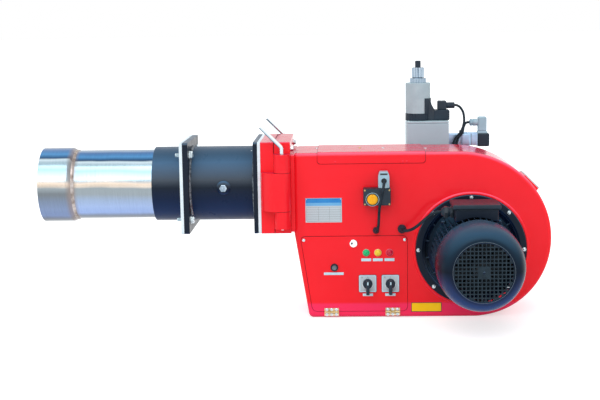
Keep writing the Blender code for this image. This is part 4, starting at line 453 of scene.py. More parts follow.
def welded(mesh, distance=1e-6):
    work = bmesh.new()
    work.from_mesh(mesh)
    bmesh.ops.remove_doubles(work, verts=work.verts, dist=distance)
    return work


def boolean(solid, operation, others):
    for other in others:
        step = solid.modifiers.new(other.name, "BOOLEAN")
        step.operation = operation
        step.solver = "EXACT"
        step.object = other
    baked(solid)
    for other in others:
        bpy.data.objects.remove(other)
    return solid


def cut(solid, *others):
    return boolean(solid, "DIFFERENCE", others)


def join(solid, *others):
    return boolean(solid, "UNION", others)


def bevel(solid, width, segments=2, angle=30):
    step = solid.modifiers.new("edges", "BEVEL")
    step.width = width / 1000
    step.segments = segments
    step.limit_method = "ANGLE"
    step.angle_limit = math.radians(angle)
    return baked(solid)


def from_bmesh(name, work, material):
    bmesh.ops.recalc_face_normals(work, faces=work.faces)
    mesh = bpy.data.meshes.new(name)
    work.to_mesh(mesh)
    work.free()
    return add(name, mesh, material)


def eased(points, steps=4):
    """A profile whose points may hold a third number, the size of a rounded corner there."""
    smooth = []
    for i, point in enumerate(points):
        here, before, after = [Vector(metres(points[k % len(points)][:2])) for k in (i, i - 1, i + 1)]
        if len(point) == 2 or not point[2]:
            smooth.append(here)
            continue
        back, ahead, size = before - here, after - here, point[2] / 1000
        first = here + back.normalized() * min(size, back.length / 2)
        last = here + ahead.normalized() * min(size, ahead.length / 2)
        for k in range(steps + 1):
            t = k / steps
            smooth.append(first * (1 - t) ** 2 + 2 * here * t * (1 - t) + last * t**2)
    return [tuple(1000 * value for value in place) for place in smooth]


def lathe(name, material, facing, profile, steps=96, at=(0, 0, 0), wave=None):
    """A turned piece. The profile holds (radius, distance along the axis, rounding)."""
    profile = eased(profile)
    if profile[0][0] > 1e-7:
        profile.append(profile[0])
    work = bmesh.new()
    turn, middle = FACING[facing], Vector(metres(at))
    rings = []
    for number, (radius, along) in enumerate(profile):
        if number == len(profile) - 1 and profile[0] == profile[-1]:
            rings.append(rings[0])
            continue
        if radius < 1e-7:
            rings.append([work.verts.new(turn @ Vector((0, 0, along / 1000)) + middle)])
            continue
        ring = []
        for i in range(steps):
            angle = math.tau * i / steps
            out = radius + (wave(angle, radius, along) if wave else 0.0)
            spot = Vector(metres((out * math.cos(angle), out * math.sin(angle), along)))
            ring.append(work.verts.new(turn @ spot + middle))
        rings.append(ring)
    for a, b in zip(rings, rings[1:]):
        for i in range(steps):
            corners = []
            for ring, k in ((a, i), (a, i + 1), (b, i + 1), (b, i)):
                corner = ring[k % len(ring)] if len(ring) > 1 else ring[0]
                if corner not in corners:
                    corners.append(corner)
            if len(corners) > 2:
                work.faces.new(corners)
    return from_bmesh(name, work, material)


def ribs(count, depth, beyond):
    """A lathe's wave: rounded ribs round the part that lies beyond a radius."""
    return lambda angle, radius, along: -depth * (0.5 + 0.5 * math.cos(angle * count)) if radius > beyond else 0.0


def notches(count, depth, beyond):
    """A lathe's wave: separate notches round the part that lies beyond a radius."""
    return lambda angle, radius, along: -depth * max(0.0, math.cos(angle * count)) ** 2 if radius > beyond else 0.0


def ripples(count, depth, twist=0.0):
    """A lathe's wave: the ripples of a weld, twisted along the axis."""
    return lambda angle, radius, along: depth * math.sin(angle * count + along * twist)


def rod(name, material, facing, radius, low, high, at, fillet=0.4, steps=48):
    """A cylinder along its own axis from low to high."""
    profile = [(0, high), (radius, high, fillet), (radius, low, fillet), (0, low)]
    return lathe(name, material, facing, profile, steps, at)


def cuboid(name, material, low, high, fillet=0, segments=3):
    low, high, fillet = metres(low), metres(high), fillet / 1000
    work = bmesh.new()
    bmesh.ops.create_cube(work, size=1)
    bmesh.ops.scale(work, vec=[b - a for a, b in zip(low, high)], verts=work.verts)
    bmesh.ops.translate(work, vec=[(a + b) / 2 for a, b in zip(low, high)], verts=work.verts)
    if fillet:
        bmesh.ops.bevel(work, geom=work.edges[:], offset=fillet, segments=segments, profile=0.5, affect="EDGES")
    return from_bmesh(name, work, material)


def plate(name, material, facing, low, high, *loops):
    """A flat plate from low to high along the axis it faces. Later loops are holes."""
    data = bpy.data.curves.new(name, "CURVE")
    data.dimensions = "2D"
    data.fill_mode = "BOTH"
    data.extrude = (high - low) / 2000
    for loop in loops:
        spline = data.splines.new("POLY")
        spline.points.add(len(loop) - 1)
        for point, place in zip(spline.points, loop):
            point.co = (*metres(place), 0, 1)
        spline.use_cyclic_u = True
    middle = FACING[facing] @ Vector((0, 0, (low + high) / 2))
    work = welded(frozen(data, standing(middle, facing)))
    if len(loops) == 1:
        bmesh.ops.dissolve_limit(work, angle_limit=math.radians(0.3), verts=work.verts, edges=work.edges)
    return from_bmesh(name, work, material)


def circle(radius, centre=(0, 0), count=64, start=0.0):
    return [(centre[0] + radius * math.cos(math.radians(start) + math.tau * i / count),
        centre[1] + radius * math.sin(math.radians(start) + math.tau * i / count)) for i in range(count)]


def arc(centre, radius, start, end, count):
    angles = [math.radians(start + (end - start) * i / count) for i in range(count + 1)]
    return [(centre[0] + radius * math.cos(a), centre[1] + radius * math.sin(a)) for a in angles]


def rounded(points, radius, steps=8):
    return eased([(*p, radius) for p in points], steps)


def rectangle(width, height, centre=(0, 0)):
    signs = ((-1, -1), (1, -1), (1, 1), (-1, 1))
    return [(centre[0] + sx * width / 2, centre[1] + sy * height / 2) for sx, sy in signs]


def numbered_pairs(first, second):
    return enumerate([(a, b) for a in first for b in second], 1)


def pipe(name, material, points, radius, smooth=True, fine=10, sides=5):
    """A round bar or cable along a list of points."""
    data = bpy.data.curves.new(name, "CURVE")
    data.dimensions = "3D"
    data.bevel_depth = radius / 1000
    data.bevel_resolution = sides
    data.resolution_u = fine
    data.use_fill_caps = True
    spline = data.splines.new("BEZIER" if smooth else "POLY")
    knots = spline.bezier_points if smooth else spline.points
    knots.add(len(points) - 1)
    for knot, place in zip(knots, points):
        if smooth:
            knot.co = metres(place)
            knot.handle_left_type = knot.handle_right_type = "AUTO"
        else:
            knot.co = (*metres(place), 1)
    return from_bmesh(name, welded(frozen(data)), material)


def dress(name, material, width=0.8, segments=2, angle=35):
    """A CAD node's own shape with its edges eased."""
    source = frame["nodes"][name]
    work = welded(source.data, 1e-5)
    bmesh.ops.dissolve_limit(work, angle_limit=math.radians(1), verts=work.verts, edges=work.edges)
    made = from_bmesh(name + "_skin", work, material)
    bevel(made, width, segments, angle)
    return settle(made, name, body=source["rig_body"])


def paint(material, *names):
    """A CAD node kept as it is, with a better material."""
    for name in names:
        mesh = frame["nodes"][name].data
        for index in range(len(mesh.materials)):
            mesh.materials[index] = material
        if not mesh.materials:
            mesh.materials.append(material)


def instance(name, mesh, at, facing, turn=0.0, body=FAN):
    made = link(name, mesh)
    made.matrix_world = standing(at, facing) @ Matrix.Rotation(math.radians(turn), 4, "Z")
    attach(made, body)
    return made


def instances(name, mesh, places, facing, turn=0.0, body=FAN):
    """Numbered copies of a fastener, each turned further than the one before."""
    for number, place in enumerate(places, 1):
        instance(f"{name}_{number}", mesh, place, facing, turn * number, body)


def leaning(name, mesh, at, out, body=FAN):
    """A fastener that points along a slanting direction."""
    made = instance(name, mesh, at, "z", body=body)
    made.matrix_world = standing(at) @ Vector(out).to_track_quat("Z", "Y").to_matrix().to_4x4()


def fastener(name, material, build):
    """A mesh for fasteners that are placed many times. It stands on z = 0."""
    model = build(name, material)
    model.data.shade_smooth()
    model.data.set_sharp_from_angle(angle=math.radians(35))
    mesh = model.data
    bpy.data.objects.remove(model)
    return mesh


def turned(profile, steps=32):
    return lambda name, material: lathe(name, material, "z", profile, steps)


def pan_head(radius, height):
    """A domed head with a cross in it."""

    def build(name, material):
        head = lathe(name, material, "z", [(0, height), (radius * 0.62, height * 0.96, radius * 0.3),
            (radius, height * 0.35, height * 0.3), (radius, -0.2), (0, -0.2)], 32)
        slot = cuboid("slot", material, (-radius * 0.55, -radius * 0.11, height * 0.45),
            (radius * 0.55, radius * 0.11, height * 2))
        slot_b = cuboid("slot_b", material, (-radius * 0.11, -radius * 0.54, height * 0.44),
            (radius * 0.11, radius * 0.54, height * 2.1))
        return cut(head, slot, slot_b)

    return build


def hex_head(radius, height, washer):
    """A washer with a chamfered hexagon on it."""

    def build(name, material):
        disc = lathe(name, material, "z", [(0, washer), (radius * 1.12, washer, 0.3), (radius * 1.12, -0.2),
            (0, -0.2)], 40)
        blank = lathe("hexagon", material, "z", [(0, washer + height), (radius * 0.86, washer + height),
            (radius, washer + height - radius * 0.09), (radius, washer * 0.5), (0, washer * 0.5)], 6)
        dimple = lathe("dimple", material, "z", [(0, washer + height + 1), (radius * 0.5, washer + height + 1),
            (radius * 0.42, washer + height - 0.6), (0, washer + height - 0.6)], 24)
        return cut(join(disc, blank), dimple)

    return build


# Burner head


def make_head():
    tube, nozzle, sleeve = 92.1, 99.3, 99.4
    wall = 2
    boss_at = (112, -sleeve, 0)
    settle(lathe("nozzle", STAINLESS, "x", [(tube, -286), (tube + 0.8, -291), (nozzle - 2, -298, 2),
        (nozzle, -302.5, 2), (nozzle, -381, 0.8), (nozzle - wall, -381, 0.5), (nozzle - wall, -302, 3),
        (tube - wall, -290, 3), (tube - wall, -286)], 160), "flame_nozzle", body=HEAD)
    settle(lathe("tube", STAINLESS, "x", [(tube, -58), (tube, -285.7), (tube - wall, -285.7), (tube - wall, -58)],
        160), "flame_tube", body=HEAD)
    settle(lathe("nozzle_weld", WELD, "x", [(tube + 2.2, -290, 1.2), (tube + 0.3, -285.5), (tube - 0.4, -286),
        (tube + 1, -294.5), (tube + 2.4, -294.5, 1)], 480, wave=ripples(213, 0.18, 0.9)), body=HEAD)
    part = lathe("sleeve", BLACK, "x", [(sleeve, 191.7), (sleeve, -78, 1.2), (tube + 0.3, -78, 0.8),
        (tube + 0.3, -58), (sleeve - 4, -54), (sleeve - 4, 191.7)], 160)
    boss = lathe("boss", BLACK, "front", [(0, 7), (12, 7, 1.4), (12.5, -3), (0, -3)], 56, boss_at)
    settle(join(part, boss), "head_sleeve", body=HEAD)
    settle(lathe("boss_weld", BLACK, "front", [(12, 5), (14, 4.6, 1.2), (18.5, 0.6, 1.2), (18.5, -2.4), (12, -2.4)],
        120, boss_at, ripples(34, 0.3)), body=HEAD)
    # Welds on the sleeve, the light patches in them painted glints.
    for number, (place, side) in enumerate(((22.6, 1), (191.5, -1)), 1):
        settle(lathe(f"sleeve_weld_{number}", WELD_BURN_AND_GLINTS, "x", [(sleeve - 1, place - side * 0.4),
            (sleeve + 4.5, place - side * 0.2, 1), (sleeve + 2, place + side * 3, 1), (sleeve - 1, place + side * 5)],
            480, wave=ripples(176, 0.45, 0.9)), body=HEAD)
    plug = lathe("plug", NECK, "front", [(0, 14.5), (8.2, 14.9), (10.2, 14), (10.2, 7.4), (0, 7.4)], 6, boss_at)
    socket = lathe("socket", ZINC, "front", [(0, 18), (4.6, 18), (4.2, 12.2), (0, 11.2)], 36, boss_at)
    settle(cut(plug, socket), "test_plug", body=HEAD, slot="zinc", smooth=20)
    stud = fastener("sleeve_stud", ZINC, pan_head(1.9, 1))
    leaning("sleeve_stud_1", stud, (183, -41.1, 90.3), (0, -0.411, 0.903), HEAD)
    dress("boiler_gasket", GASKET, 1, 3)
    dress("boiler_flange", BLACK, 0.9, 3)
    dress("hinge_flange", BLACK, 0.9, 3)
    dress("hinge_gasket", GASKET, 1, 3)
    face = 22.6
    head = fastener("flange_bolt_head", ZINC, hex_head(10.7, 7.5, 1.8))

    def thread(name, material):
        profile = [(0, 37), (4.8, 37), (5.8, 36)]
        for i in range(9):
            profile += [(5.8, 35.5 - i * 1.75), (5.1, 34.6 - i * 1.75)]
        return lathe(name, material, "z", [*profile, (5.6, 19), (5.6, -1), (0, -1)], 28)

    shank = fastener("flange_bolt_thread", ZINC, thread)
    for number, (y, z) in numbered_pairs((-85, 85), (-85, 85)):
        made = instance(f"bolt_head_{number}", head, (face, y, z), "x", 15 * number, body=HEAD)
        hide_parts(f"flange_bolt_{number}")
        instance(f"bolt_thread_{number}", shank, (face, y, z), "-x", body=HEAD)
    paint(STEEL, "gas_lance", "diffuser_disc")
    paint(CERAMIC, "ignition_electrode")


# Hinge block


def make_hinge():
    """Two square frames, with round knuckles on two pins."""
    square = rounded(rectangle(240, 240), 4, 4)
    opening = rounded(rectangle(160, 160), 20, 10)
    pin_x, pin_y = 268, 144
    for name, low, high, body in (("hinge_frame", 211.6, 245.9, HEAD), ("swing_frame", 246.7, 289, FAN)):
        ring = plate(name + "_ring", RED, "x", low, high, square, opening)
        bevel(ring, 1.4, 3, 50)
        settle(ring, name, body=body)
    for side, name in ((-1, "front"), (1, "rear")):
        centre = (pin_x, side * pin_y)
        plan = [(213.6, side * 116), (213.6, side * 138, 10), (238, side * 162.5, 20), (256, side * 166, 10),
            *arc(centre, 22, side * 90, side * -90, 28), (245.7, side * 122), (245.7, side * 116)]
        barrel = plate(f"{name}_knuckle_2", RED, "z", -56, 43, eased(plan, 8), circle(5.5, centre, 32))
        bevel(barrel, 1.2, 3, 50)
        settle(barrel, body=HEAD)
        plan = [(246.9, side * 116), *arc(centre, 21.1, side * 180, 0, 32), (289.1, side * 116)]
        for number, (low, high) in ((1, (-102, -56.8)), (3, (43.6, 91))):
            bore = circle(5.5, centre, 32)
            barrel = plate(f"{name}_knuckle_{number}", RED, "z", low, high, plan, bore)
            if side == 1:
                way = [(240, 150.8), (240, 137.2), *arc(centre, 6.8, -90, 90, 16)]
                cut(barrel, plate("way", RED, "z", low - 2, high + 2, way))
            bevel(barrel, 1.2, 3, 50)
            settle(barrel)
        bend = arc((pin_x - 12, 103), 12, 0, 45, 10)
        handle = 71 * 0.70711
        route = [(pin_x, -106), (pin_x, 0), *bend, (bend[-1][0] - handle, bend[-1][1] + handle)]
        pin = pipe(f"pin_{name}", PIN, [(x, side * pin_y, z) for x, z in route], 5, False, sides=8)
        bevel(pin, 1, 3, 60)
        settle(pin, f"hinge_pin_{name}", body=f"{name}_pin")
    # Painted shade in the gaps between the frames and between the knuckles.
    settle(plate("frame_gap_shade", GAP_SHADE, "x", 245.2, 247.4, square, rounded(rectangle(230, 230), 4, 4)), body=HEAD)
    for side, name in ((-1, "front"), (1, "rear")):
        centre = (pin_x, side * pin_y)
        for number, (low, high) in enumerate(((-57.3, -55.8), (42.7, 43.9)), 1):
            settle(plate(f"{name}_knuckle_seam_{number}", GAP_SHADE, "z", low, high, circle(21.2, centre, 48),
                circle(11, centre, 48)), body=HEAD)
    bolt = fastener("frame_bolt", ZINC, hex_head(7.4, 5.8, 1.4))
    instances("frame_bolt", bolt, [(289.2, y, 100) for y in (-86, 86)], "x", 10)


# Fan casing


def scroll_radius(angle):
    """From the motor's axis to the casing's wall, which widens from the base up to the lid."""
    start = MOTOR[2] - BASE
    growth = ((TOP - MOTOR[2]) / math.sin(math.radians(97.5)) - start) / (187.5 / 180) ** 1.4
    return start + growth * ((angle + 90) / 180) ** 1.4


def duct_radius(angle):
    """From the motor's axis to the inner wall between fan and controls."""
    start = MOTOR[2] - BASE - 4
    return start + (DUCT_RADIUS - start) * (angle + 90) / -110


def polar(radius, angle):
    turn = math.radians(angle)
    return (MOTOR[0] + radius * math.cos(turn), MOTOR[2] + radius * math.sin(turn))


def casing_outline(inset=0, steps=72):
    angles = [-90 + 187.5 * i / steps for i in range(steps + 1)]
    places = [polar(scroll_radius(a) - inset - 0.4 * (a > -80), a) for a in angles]
    return [(x, max(z, BASE + inset)) for x, z in places]


def make_casing():
    shell = plate("casing", RED, "front", -FACE, FACE, [(295, TOP), (295, -121), (332.4, BASE), *casing_outline()])
    bevel(shell, 11, 7, 30)
    neck = cuboid("neck", RED, (289.3, -87, -87), (306, 87, 87))
    tall = [(-116, -117), (116, -117), (116, 86.8), (-116, 86.8)]
    outlet = plate("outlet_flange", RED, "x", 289.3, 299, rounded(tall, 6, 4),
        rounded(rectangle(160, 160), 4, 3))
    bevel(outlet, 0.8, 2, 50)
    settle(outlet)
    floor = polar(DUCT_RADIUS, -200)[1]
    hollow = plate("air_path", RED, "front", -96, 96, [(299, 84), (299, floor),
        *[polar(duct_radius(a), a) for a in range(-200, -90, 5)], *casing_outline(4)])
    slope = 37.4 / 230
    across = 4 * math.sqrt(1 + slope**2)
    room = plate("control_room", RED, "front", -96, 96, [(295 + across + slope * (-121 - floor + 4), floor - 4),
        (295 + across + slope * (-121 + 347), -347), *[polar(duct_radius(a) + 4, a) for a in range(-101, -199, -4)]])
    inset = [(326, -144), (579.4, -144), (579.4, -321), (352.5, -321)]
    holes = [
        cuboid("outlet", RED, (279, -80, -80), (303, 80, 80)),
        rod("motor_hole", RED, "front", 131, 80, 120, MOTOR, steps=96),
        rod("inlet_hole", RED, "back", 85, 80, 120, MOTOR, steps=96),
        plate("door_hole", RED, "front", 90, 110, rounded(inset, 8, 4)),
        cuboid("lid_hole", RED, (386.6, -70, 68), (610.8, 70, 108)),
        rod("gas_hole", RED, "back", 24.5, 80, 120, (445, 0, 40), steps=64)]
    join(shell, neck)
    cut(shell, hollow, room, *holes)
    settle(shell, "volute_casing")
    settle(lathe("motor_lip", RED, "front", [(145.5, 104, 0.6), (149.5, 104.2, 3), (153.5, 99.5, 3), (145.5, 99.5)],
        160, MOTOR))
    settle(lathe("inlet_cone", RED, "front", [(79, -26, 1), (82, -60, 10), (91, -94), (91, -97), (86, -97),
        (80, -60, 10), (77, -26, 1)], 96, MOTOR))
    angle = math.radians(45)
    x, z = polar(scroll_radius(45) - 1, 45)
    turn = standing((x, 15, z)) @ Matrix.Rotation(-angle, 4, "Y")
    box = cuboid("rim_box", RED, (-10, -45, -26), (6.4, 45, 26), 1.2, 2)
    box.data.transform(turn)
    settle(box)
    cover = cuboid("rim_cover", ALUMINIUM, (6, -45, -26), (9.9, 45, 26), 0.8, 2)
    cover.data.transform(turn)
    settle(cover)
    for number, (gx, gz) in enumerate(((736, 30), (758, 30)), 1):
        settle(lathe(f"rear_gland_{number}", PLASTIC, "back", [(3.9, 111.8), (6.2, 111.8, 1), (7, 106, 0.5),
            (8.8, 105.8, 0.5), (8.8, 99.5), (3.9, 99.5)], 32, (gx, 0, gz)))


def lid_skin(half, top, radius, foot, rear):
    left = arc((-half + radius, top - radius), radius, 180, 90, 10)
    right = arc((half - radius, top - radius), radius, 90, 0, 10)
    return [(-half, foot), *left, *right, (half, rear)]


def lid_piece(name, material, x0, x1, inner, outer, foot):
    """A bent sheet over the casing's top, with rounded corners on its flaps."""
    outside = lid_skin(FACE + outer, TOP + outer, 11 + outer, foot, 76.8)
    inside = lid_skin(FACE + inner, TOP + inner, 11 + inner, foot, 76.8)
    sheet = plate(name, material, "x", x0, x1, [*outside, *reversed(inside)])
    window = [(x0 - 1, 140), (x0 - 1, foot - 1), (x1 + 1, foot - 1), (x1 + 1, 140)]
    mask = plate("mask", material, "front", -200, 200, rounded(window, 14, 12))
    return boolean(sheet, "INTERSECT", [mask])


def make_lid():
    lid = lid_piece("lid_sheet", RED, 358.6, 638.8, 0.3, 1.8, 60)
    bevel(lid, 0.4, 2, 50)
    settle(lid, "inspection_lid")
    # Painted shade: a dark strip round the lid, in the gap along its edges.
    settle(lid_piece("lid_gap_shade", GAP_SHADE, 357.5, 639.9, -0.4, 0.4, 58.9), slot="black_plastic")
    top = fastener("lid_screw", ZINC, pan_head(4.2, 2))
    yellow = fastener("lid_screw_yellow", BRASS, pan_head(3.8, 1.8))
    small = fastener("flap_screw", RED, pan_head(2.6, 1.2))
    for number, (x, y) in enumerate(((354.8, 19.3), (532.4, -8.7), (644.6, -11.3)), 1):
        instance(f"lid_screw_{number}", top, (x, y, 88 if number in (1, 3) else 89.8), "z", 25 * number)
    instance("lid_stud", yellow, (470.5, 6, 89.8), "z", 12)
    instances("flap_screw", small, [(x, -101.8, 63.5) for x in (404.8, 580.5, 591.3)], "front", 30)


# Motor


def make_motor():
    front = FACE + 0.3
    profile = [(144.5, front), (144.5, front + 6.2, 1.8), (127, front + 6.2, 1.6), (124.5, front + 2, 1),
        (121.5, front + 1.2, 1), (116.5, front - 11.8, 2), (112, front - 12.5, 1), (110, front - 13.8, 0.8),
        (58, front - 14), (58, front - 19), (125, front - 19), (130, front)]
    settle(lathe("ring_plate", BLACK, "front", profile, 160, MOTOR), "motor_plate", smooth=50)
    for number, (radius, rise) in enumerate(((127.5, 7.4), (122.2, 3)), 1):
        high = front + rise
        settle(lathe(f"plate_ridge_{number}", COWL, "front", [(radius, high - 3), (radius, high, 0.6),
            (radius + 1.8, high, 0.6), (radius + 1.8, high - 3)], 160, MOTOR))
    work = bmesh.new()
    for i in range(16):
        angle = math.tau * (i + 0.5) / 16
        size = Matrix.Diagonal((15.5, 2.8, 11.5, 1))
        middle = Vector((118.5 * math.cos(angle), 118.5 * math.sin(angle), front - 6.8))
        spot = Matrix.Translation(middle) @ Matrix.Rotation(angle, 4, "Z")
        bmesh.ops.create_cube(work, size=1, matrix=spot @ size)
    bmesh.ops.bevel(work, geom=work.edges[:], offset=0.9, segments=2, profile=0.5, affect="EDGES")
    placed(work, MOTOR, "front")
    settle(from_bmesh("plate_ribs", work, BLACK))
    bolt = fastener("ring_bolt", ZINC, pan_head(4, 3))
    dark_bolt = fastener("shield_bolt", BLACK, pan_head(5.2, 3.4))
    washer = fastener("ring_washer", ZINC, turned([(0, 0.9), (5, 0.9, 0.3), (5, -0.2), (0, -0.2)]))
    for i in range(8):
        angle = math.radians(90 + 45 * i)
        x = MOTOR[0] + 137.9 * math.cos(angle)
        z = MOTOR[2] + 137.9 * math.sin(angle)
        y = -front - 6.2
        instance(f"ring_washer_{i + 1}", washer, (x, y, z), "front")
        instance(f"ring_bolt_{i + 1}", bolt, (x, y - 0.8, z), "front", 37 * i)
    seat = 86.6
    end = FACE + 192
    body = lathe("motor_core", COWL, "front", [(0, end + 10), (62, end + 10, 3), (78, end + 4, 3), (89.5, end, 2),
        (89.5, seat + 24, 4), (104, seat + 10, 3), (112, seat + 8, 2), (112, seat, 1), (0, seat)], 120, MOTOR)
    tip = (108.8 - 1.5) * math.cos(math.pi / 40) - 0.6
    count = 44
    work = bmesh.new()
    low, high = seat + 26.2, end - 2
    for i in range(count):
        angle = math.tau * (i + 0.5) / count
        across = Vector((-math.sin(angle), math.cos(angle), 0))
        out = Vector((math.cos(angle), math.sin(angle), 0))
        loop = [(88, -2.2), (96, -1.4), (tip - 0.8, -1), (tip, -0.5)]
        loop += [(radius, -half) for radius, half in reversed(loop)]
        rings = []
        for along in (low, high):
            rings.append([work.verts.new(out * r + across * h + Vector((0, 0, along))) for r, h in loop])
        for k in range(len(loop)):
            m = (k + 1) % len(loop)
            work.faces.new((rings[0][k], rings[0][m], rings[1][m], rings[1][k]))
        work.faces.new(rings[0])
        work.faces.new(rings[1])
    placed(work, MOTOR, "front")
    fins = from_bmesh("motor_fins", work, COWL)
    settle(body, "motor_body")
    settle(fins)
    for i, angle in enumerate((45, 135, 225, 315), 1):
        x = MOTOR[0] + 103.5 * math.cos(math.radians(angle))
        z = MOTOR[2] + 103.5 * math.sin(math.radians(angle))
        settle(rod(f"shield_lug_{i}", COWL, "front", 7, seat + 7, seat + 22, (x, 0, z), 1.5, 32))
        instance(f"shield_screw_{i}", dark_bolt, (x, -seat - 21.8, z), "front", 20 * i)
    make_terminal_box()
    make_cowl()
    paint(SHAFT, "motor_shaft")
    paint(ALUMINIUM, "fan_impeller")
    paint(PLASTIC, "cooling_fan")


def make_terminal_box():
    x, top, lid_under = MOTOR[0], -31, -43
    body = cuboid("terminal_body", BLACK, (x - 54, -236, MOTOR[2] + 95), (x + 54, -144, lid_under + 1), 4, 4)
    saddle = rod("saddle", PLASTIC, "front", 107, 120, 250, MOTOR, steps=96)
    cut(body, saddle)
    settle(body, "terminal_box", slot="black_plastic")
    settle(cuboid("terminal_lid", PLASTIC, (x - 60, -242, lid_under + 0.6), (x + 60, -138, top), 3, 4))
    settle(cuboid("terminal_seal", RUBBER, (x - 56.5, -238.5, lid_under - 1.6), (x + 56.5, -141.5, lid_under + 1),
        0.7, 2))
    screw = fastener("terminal_screw", ZINC, pan_head(3.4, 1.6))
    instances("terminal_screw", screw, [(x + dx, y, top - 1.7) for y in (-236, -144) for dx in (-53, 53)], "z", 33)
    at = (0, -190, -55.5)
    settle(lathe("terminal_gland", PLASTIC, "x", [(4.3, 672.3, 0.5), (8.5, 672.3, 2), (12.5, 679, 2), (13.5, 683, 1),
        (13.5, 692.5, 0.8), (12, 693), (12, 706), (4.3, 706)], 64, at))
    for number, (low, high, radius) in enumerate(((679.5, 689.5, 15.8), (695.5, 703, 16)), 1):
        settle(lathe(f"terminal_nut_{number}", PLASTIC, "x", [(0, low), (radius * 0.9, low), (radius, low + 1.4),
            (radius, high - 1.4), (radius * 0.9, high), (0, high)], 6, at), smooth=20)


def make_cowl():
    radius, rim, start, shoulder, end = 108.8, 73.5, 283, 320, 401
    wall, steps = 1.5, 18

    def bowl(inset):
        points = []
        for i in range(steps + 1):
            turn = math.radians(90 * i / steps)
            across, depth = radius - rim - 2, end - 1 - shoulder
            points.append((rim + 2 + (across - inset) * math.sin(turn), shoulder + (depth - inset) * math.cos(turn)))
        return points

    settle(lathe("cowl", COWL, "front", [(rim, end, 0.4), *bowl(0), (radius, start, 0.5), (radius - wall, start, 0.5),
        *reversed(bowl(wall)), (rim - 2, end - 5), (rim - 2, end, 0.4)], 128, MOTOR), "fan_cowl", smooth=60,
        weighted=False)
    disc = plate("grille", RUBBER, "front", end - 3, end - 1.2, circle(rim - 1.5, (MOTOR[0], MOTOR[2]), 128))
    work = bmesh.new()
    pitch, hole = 9.45, 6.7
    for i in range(-8, 9):
        for j in range(-8, 9):
            x, z = i * pitch, j * pitch
            if 18.5 < math.hypot(x, z) < 70.5:
                bmesh.ops.create_cube(work, size=1, matrix=Matrix.Translation((x, z, end)) @ Matrix.Diagonal(
                    (hole, hole, 10, 1)))
    upright = [e for e in work.edges if abs((e.verts[0].co - e.verts[1].co).z) > 5]
    bmesh.ops.bevel(work, geom=upright, offset=1.1, segments=3, profile=0.5, affect="EDGES")
    placed(work, MOTOR, "front")
    cut(disc, from_bmesh("pegs", work, COWL))
    bevel(disc, 0.25, 1, 50)
    settle(disc, slot="black_paint")
    # Painted highlight: a lighter grey ring for the light line round the grille.
    settle(lathe("grille_ring_highlight", CAP, "front", [(rim + 0.2, end - 1), (rim + 0.2, end - 0.1, 0.3),
        (rim + 1, end - 0.2, 0.2), (rim + 1, end - 1.2)], 160, MOTOR))
    screw = fastener("grille_screw", BLACK, pan_head(3, 1.2))
    instance("grille_screw_1", screw, (MOTOR[0], 1.2 - end, MOTOR[2]), "front", 15)
    small = fastener("cowl_screw", STEEL, pan_head(3, 1.6))
    for number, angle in enumerate((14, 134, 254), 1):
        turn = math.radians(angle)
        place = Vector((MOTOR[0] + 97.5 * math.cos(turn), -374.5, MOTOR[2] + 97.5 * math.sin(turn)))
        out = Vector((math.cos(turn) * 0.75, -0.66, math.sin(turn) * 0.75)).normalized()
        leaning(f"cowl_screw_{number}", small, place, out)


# Control door


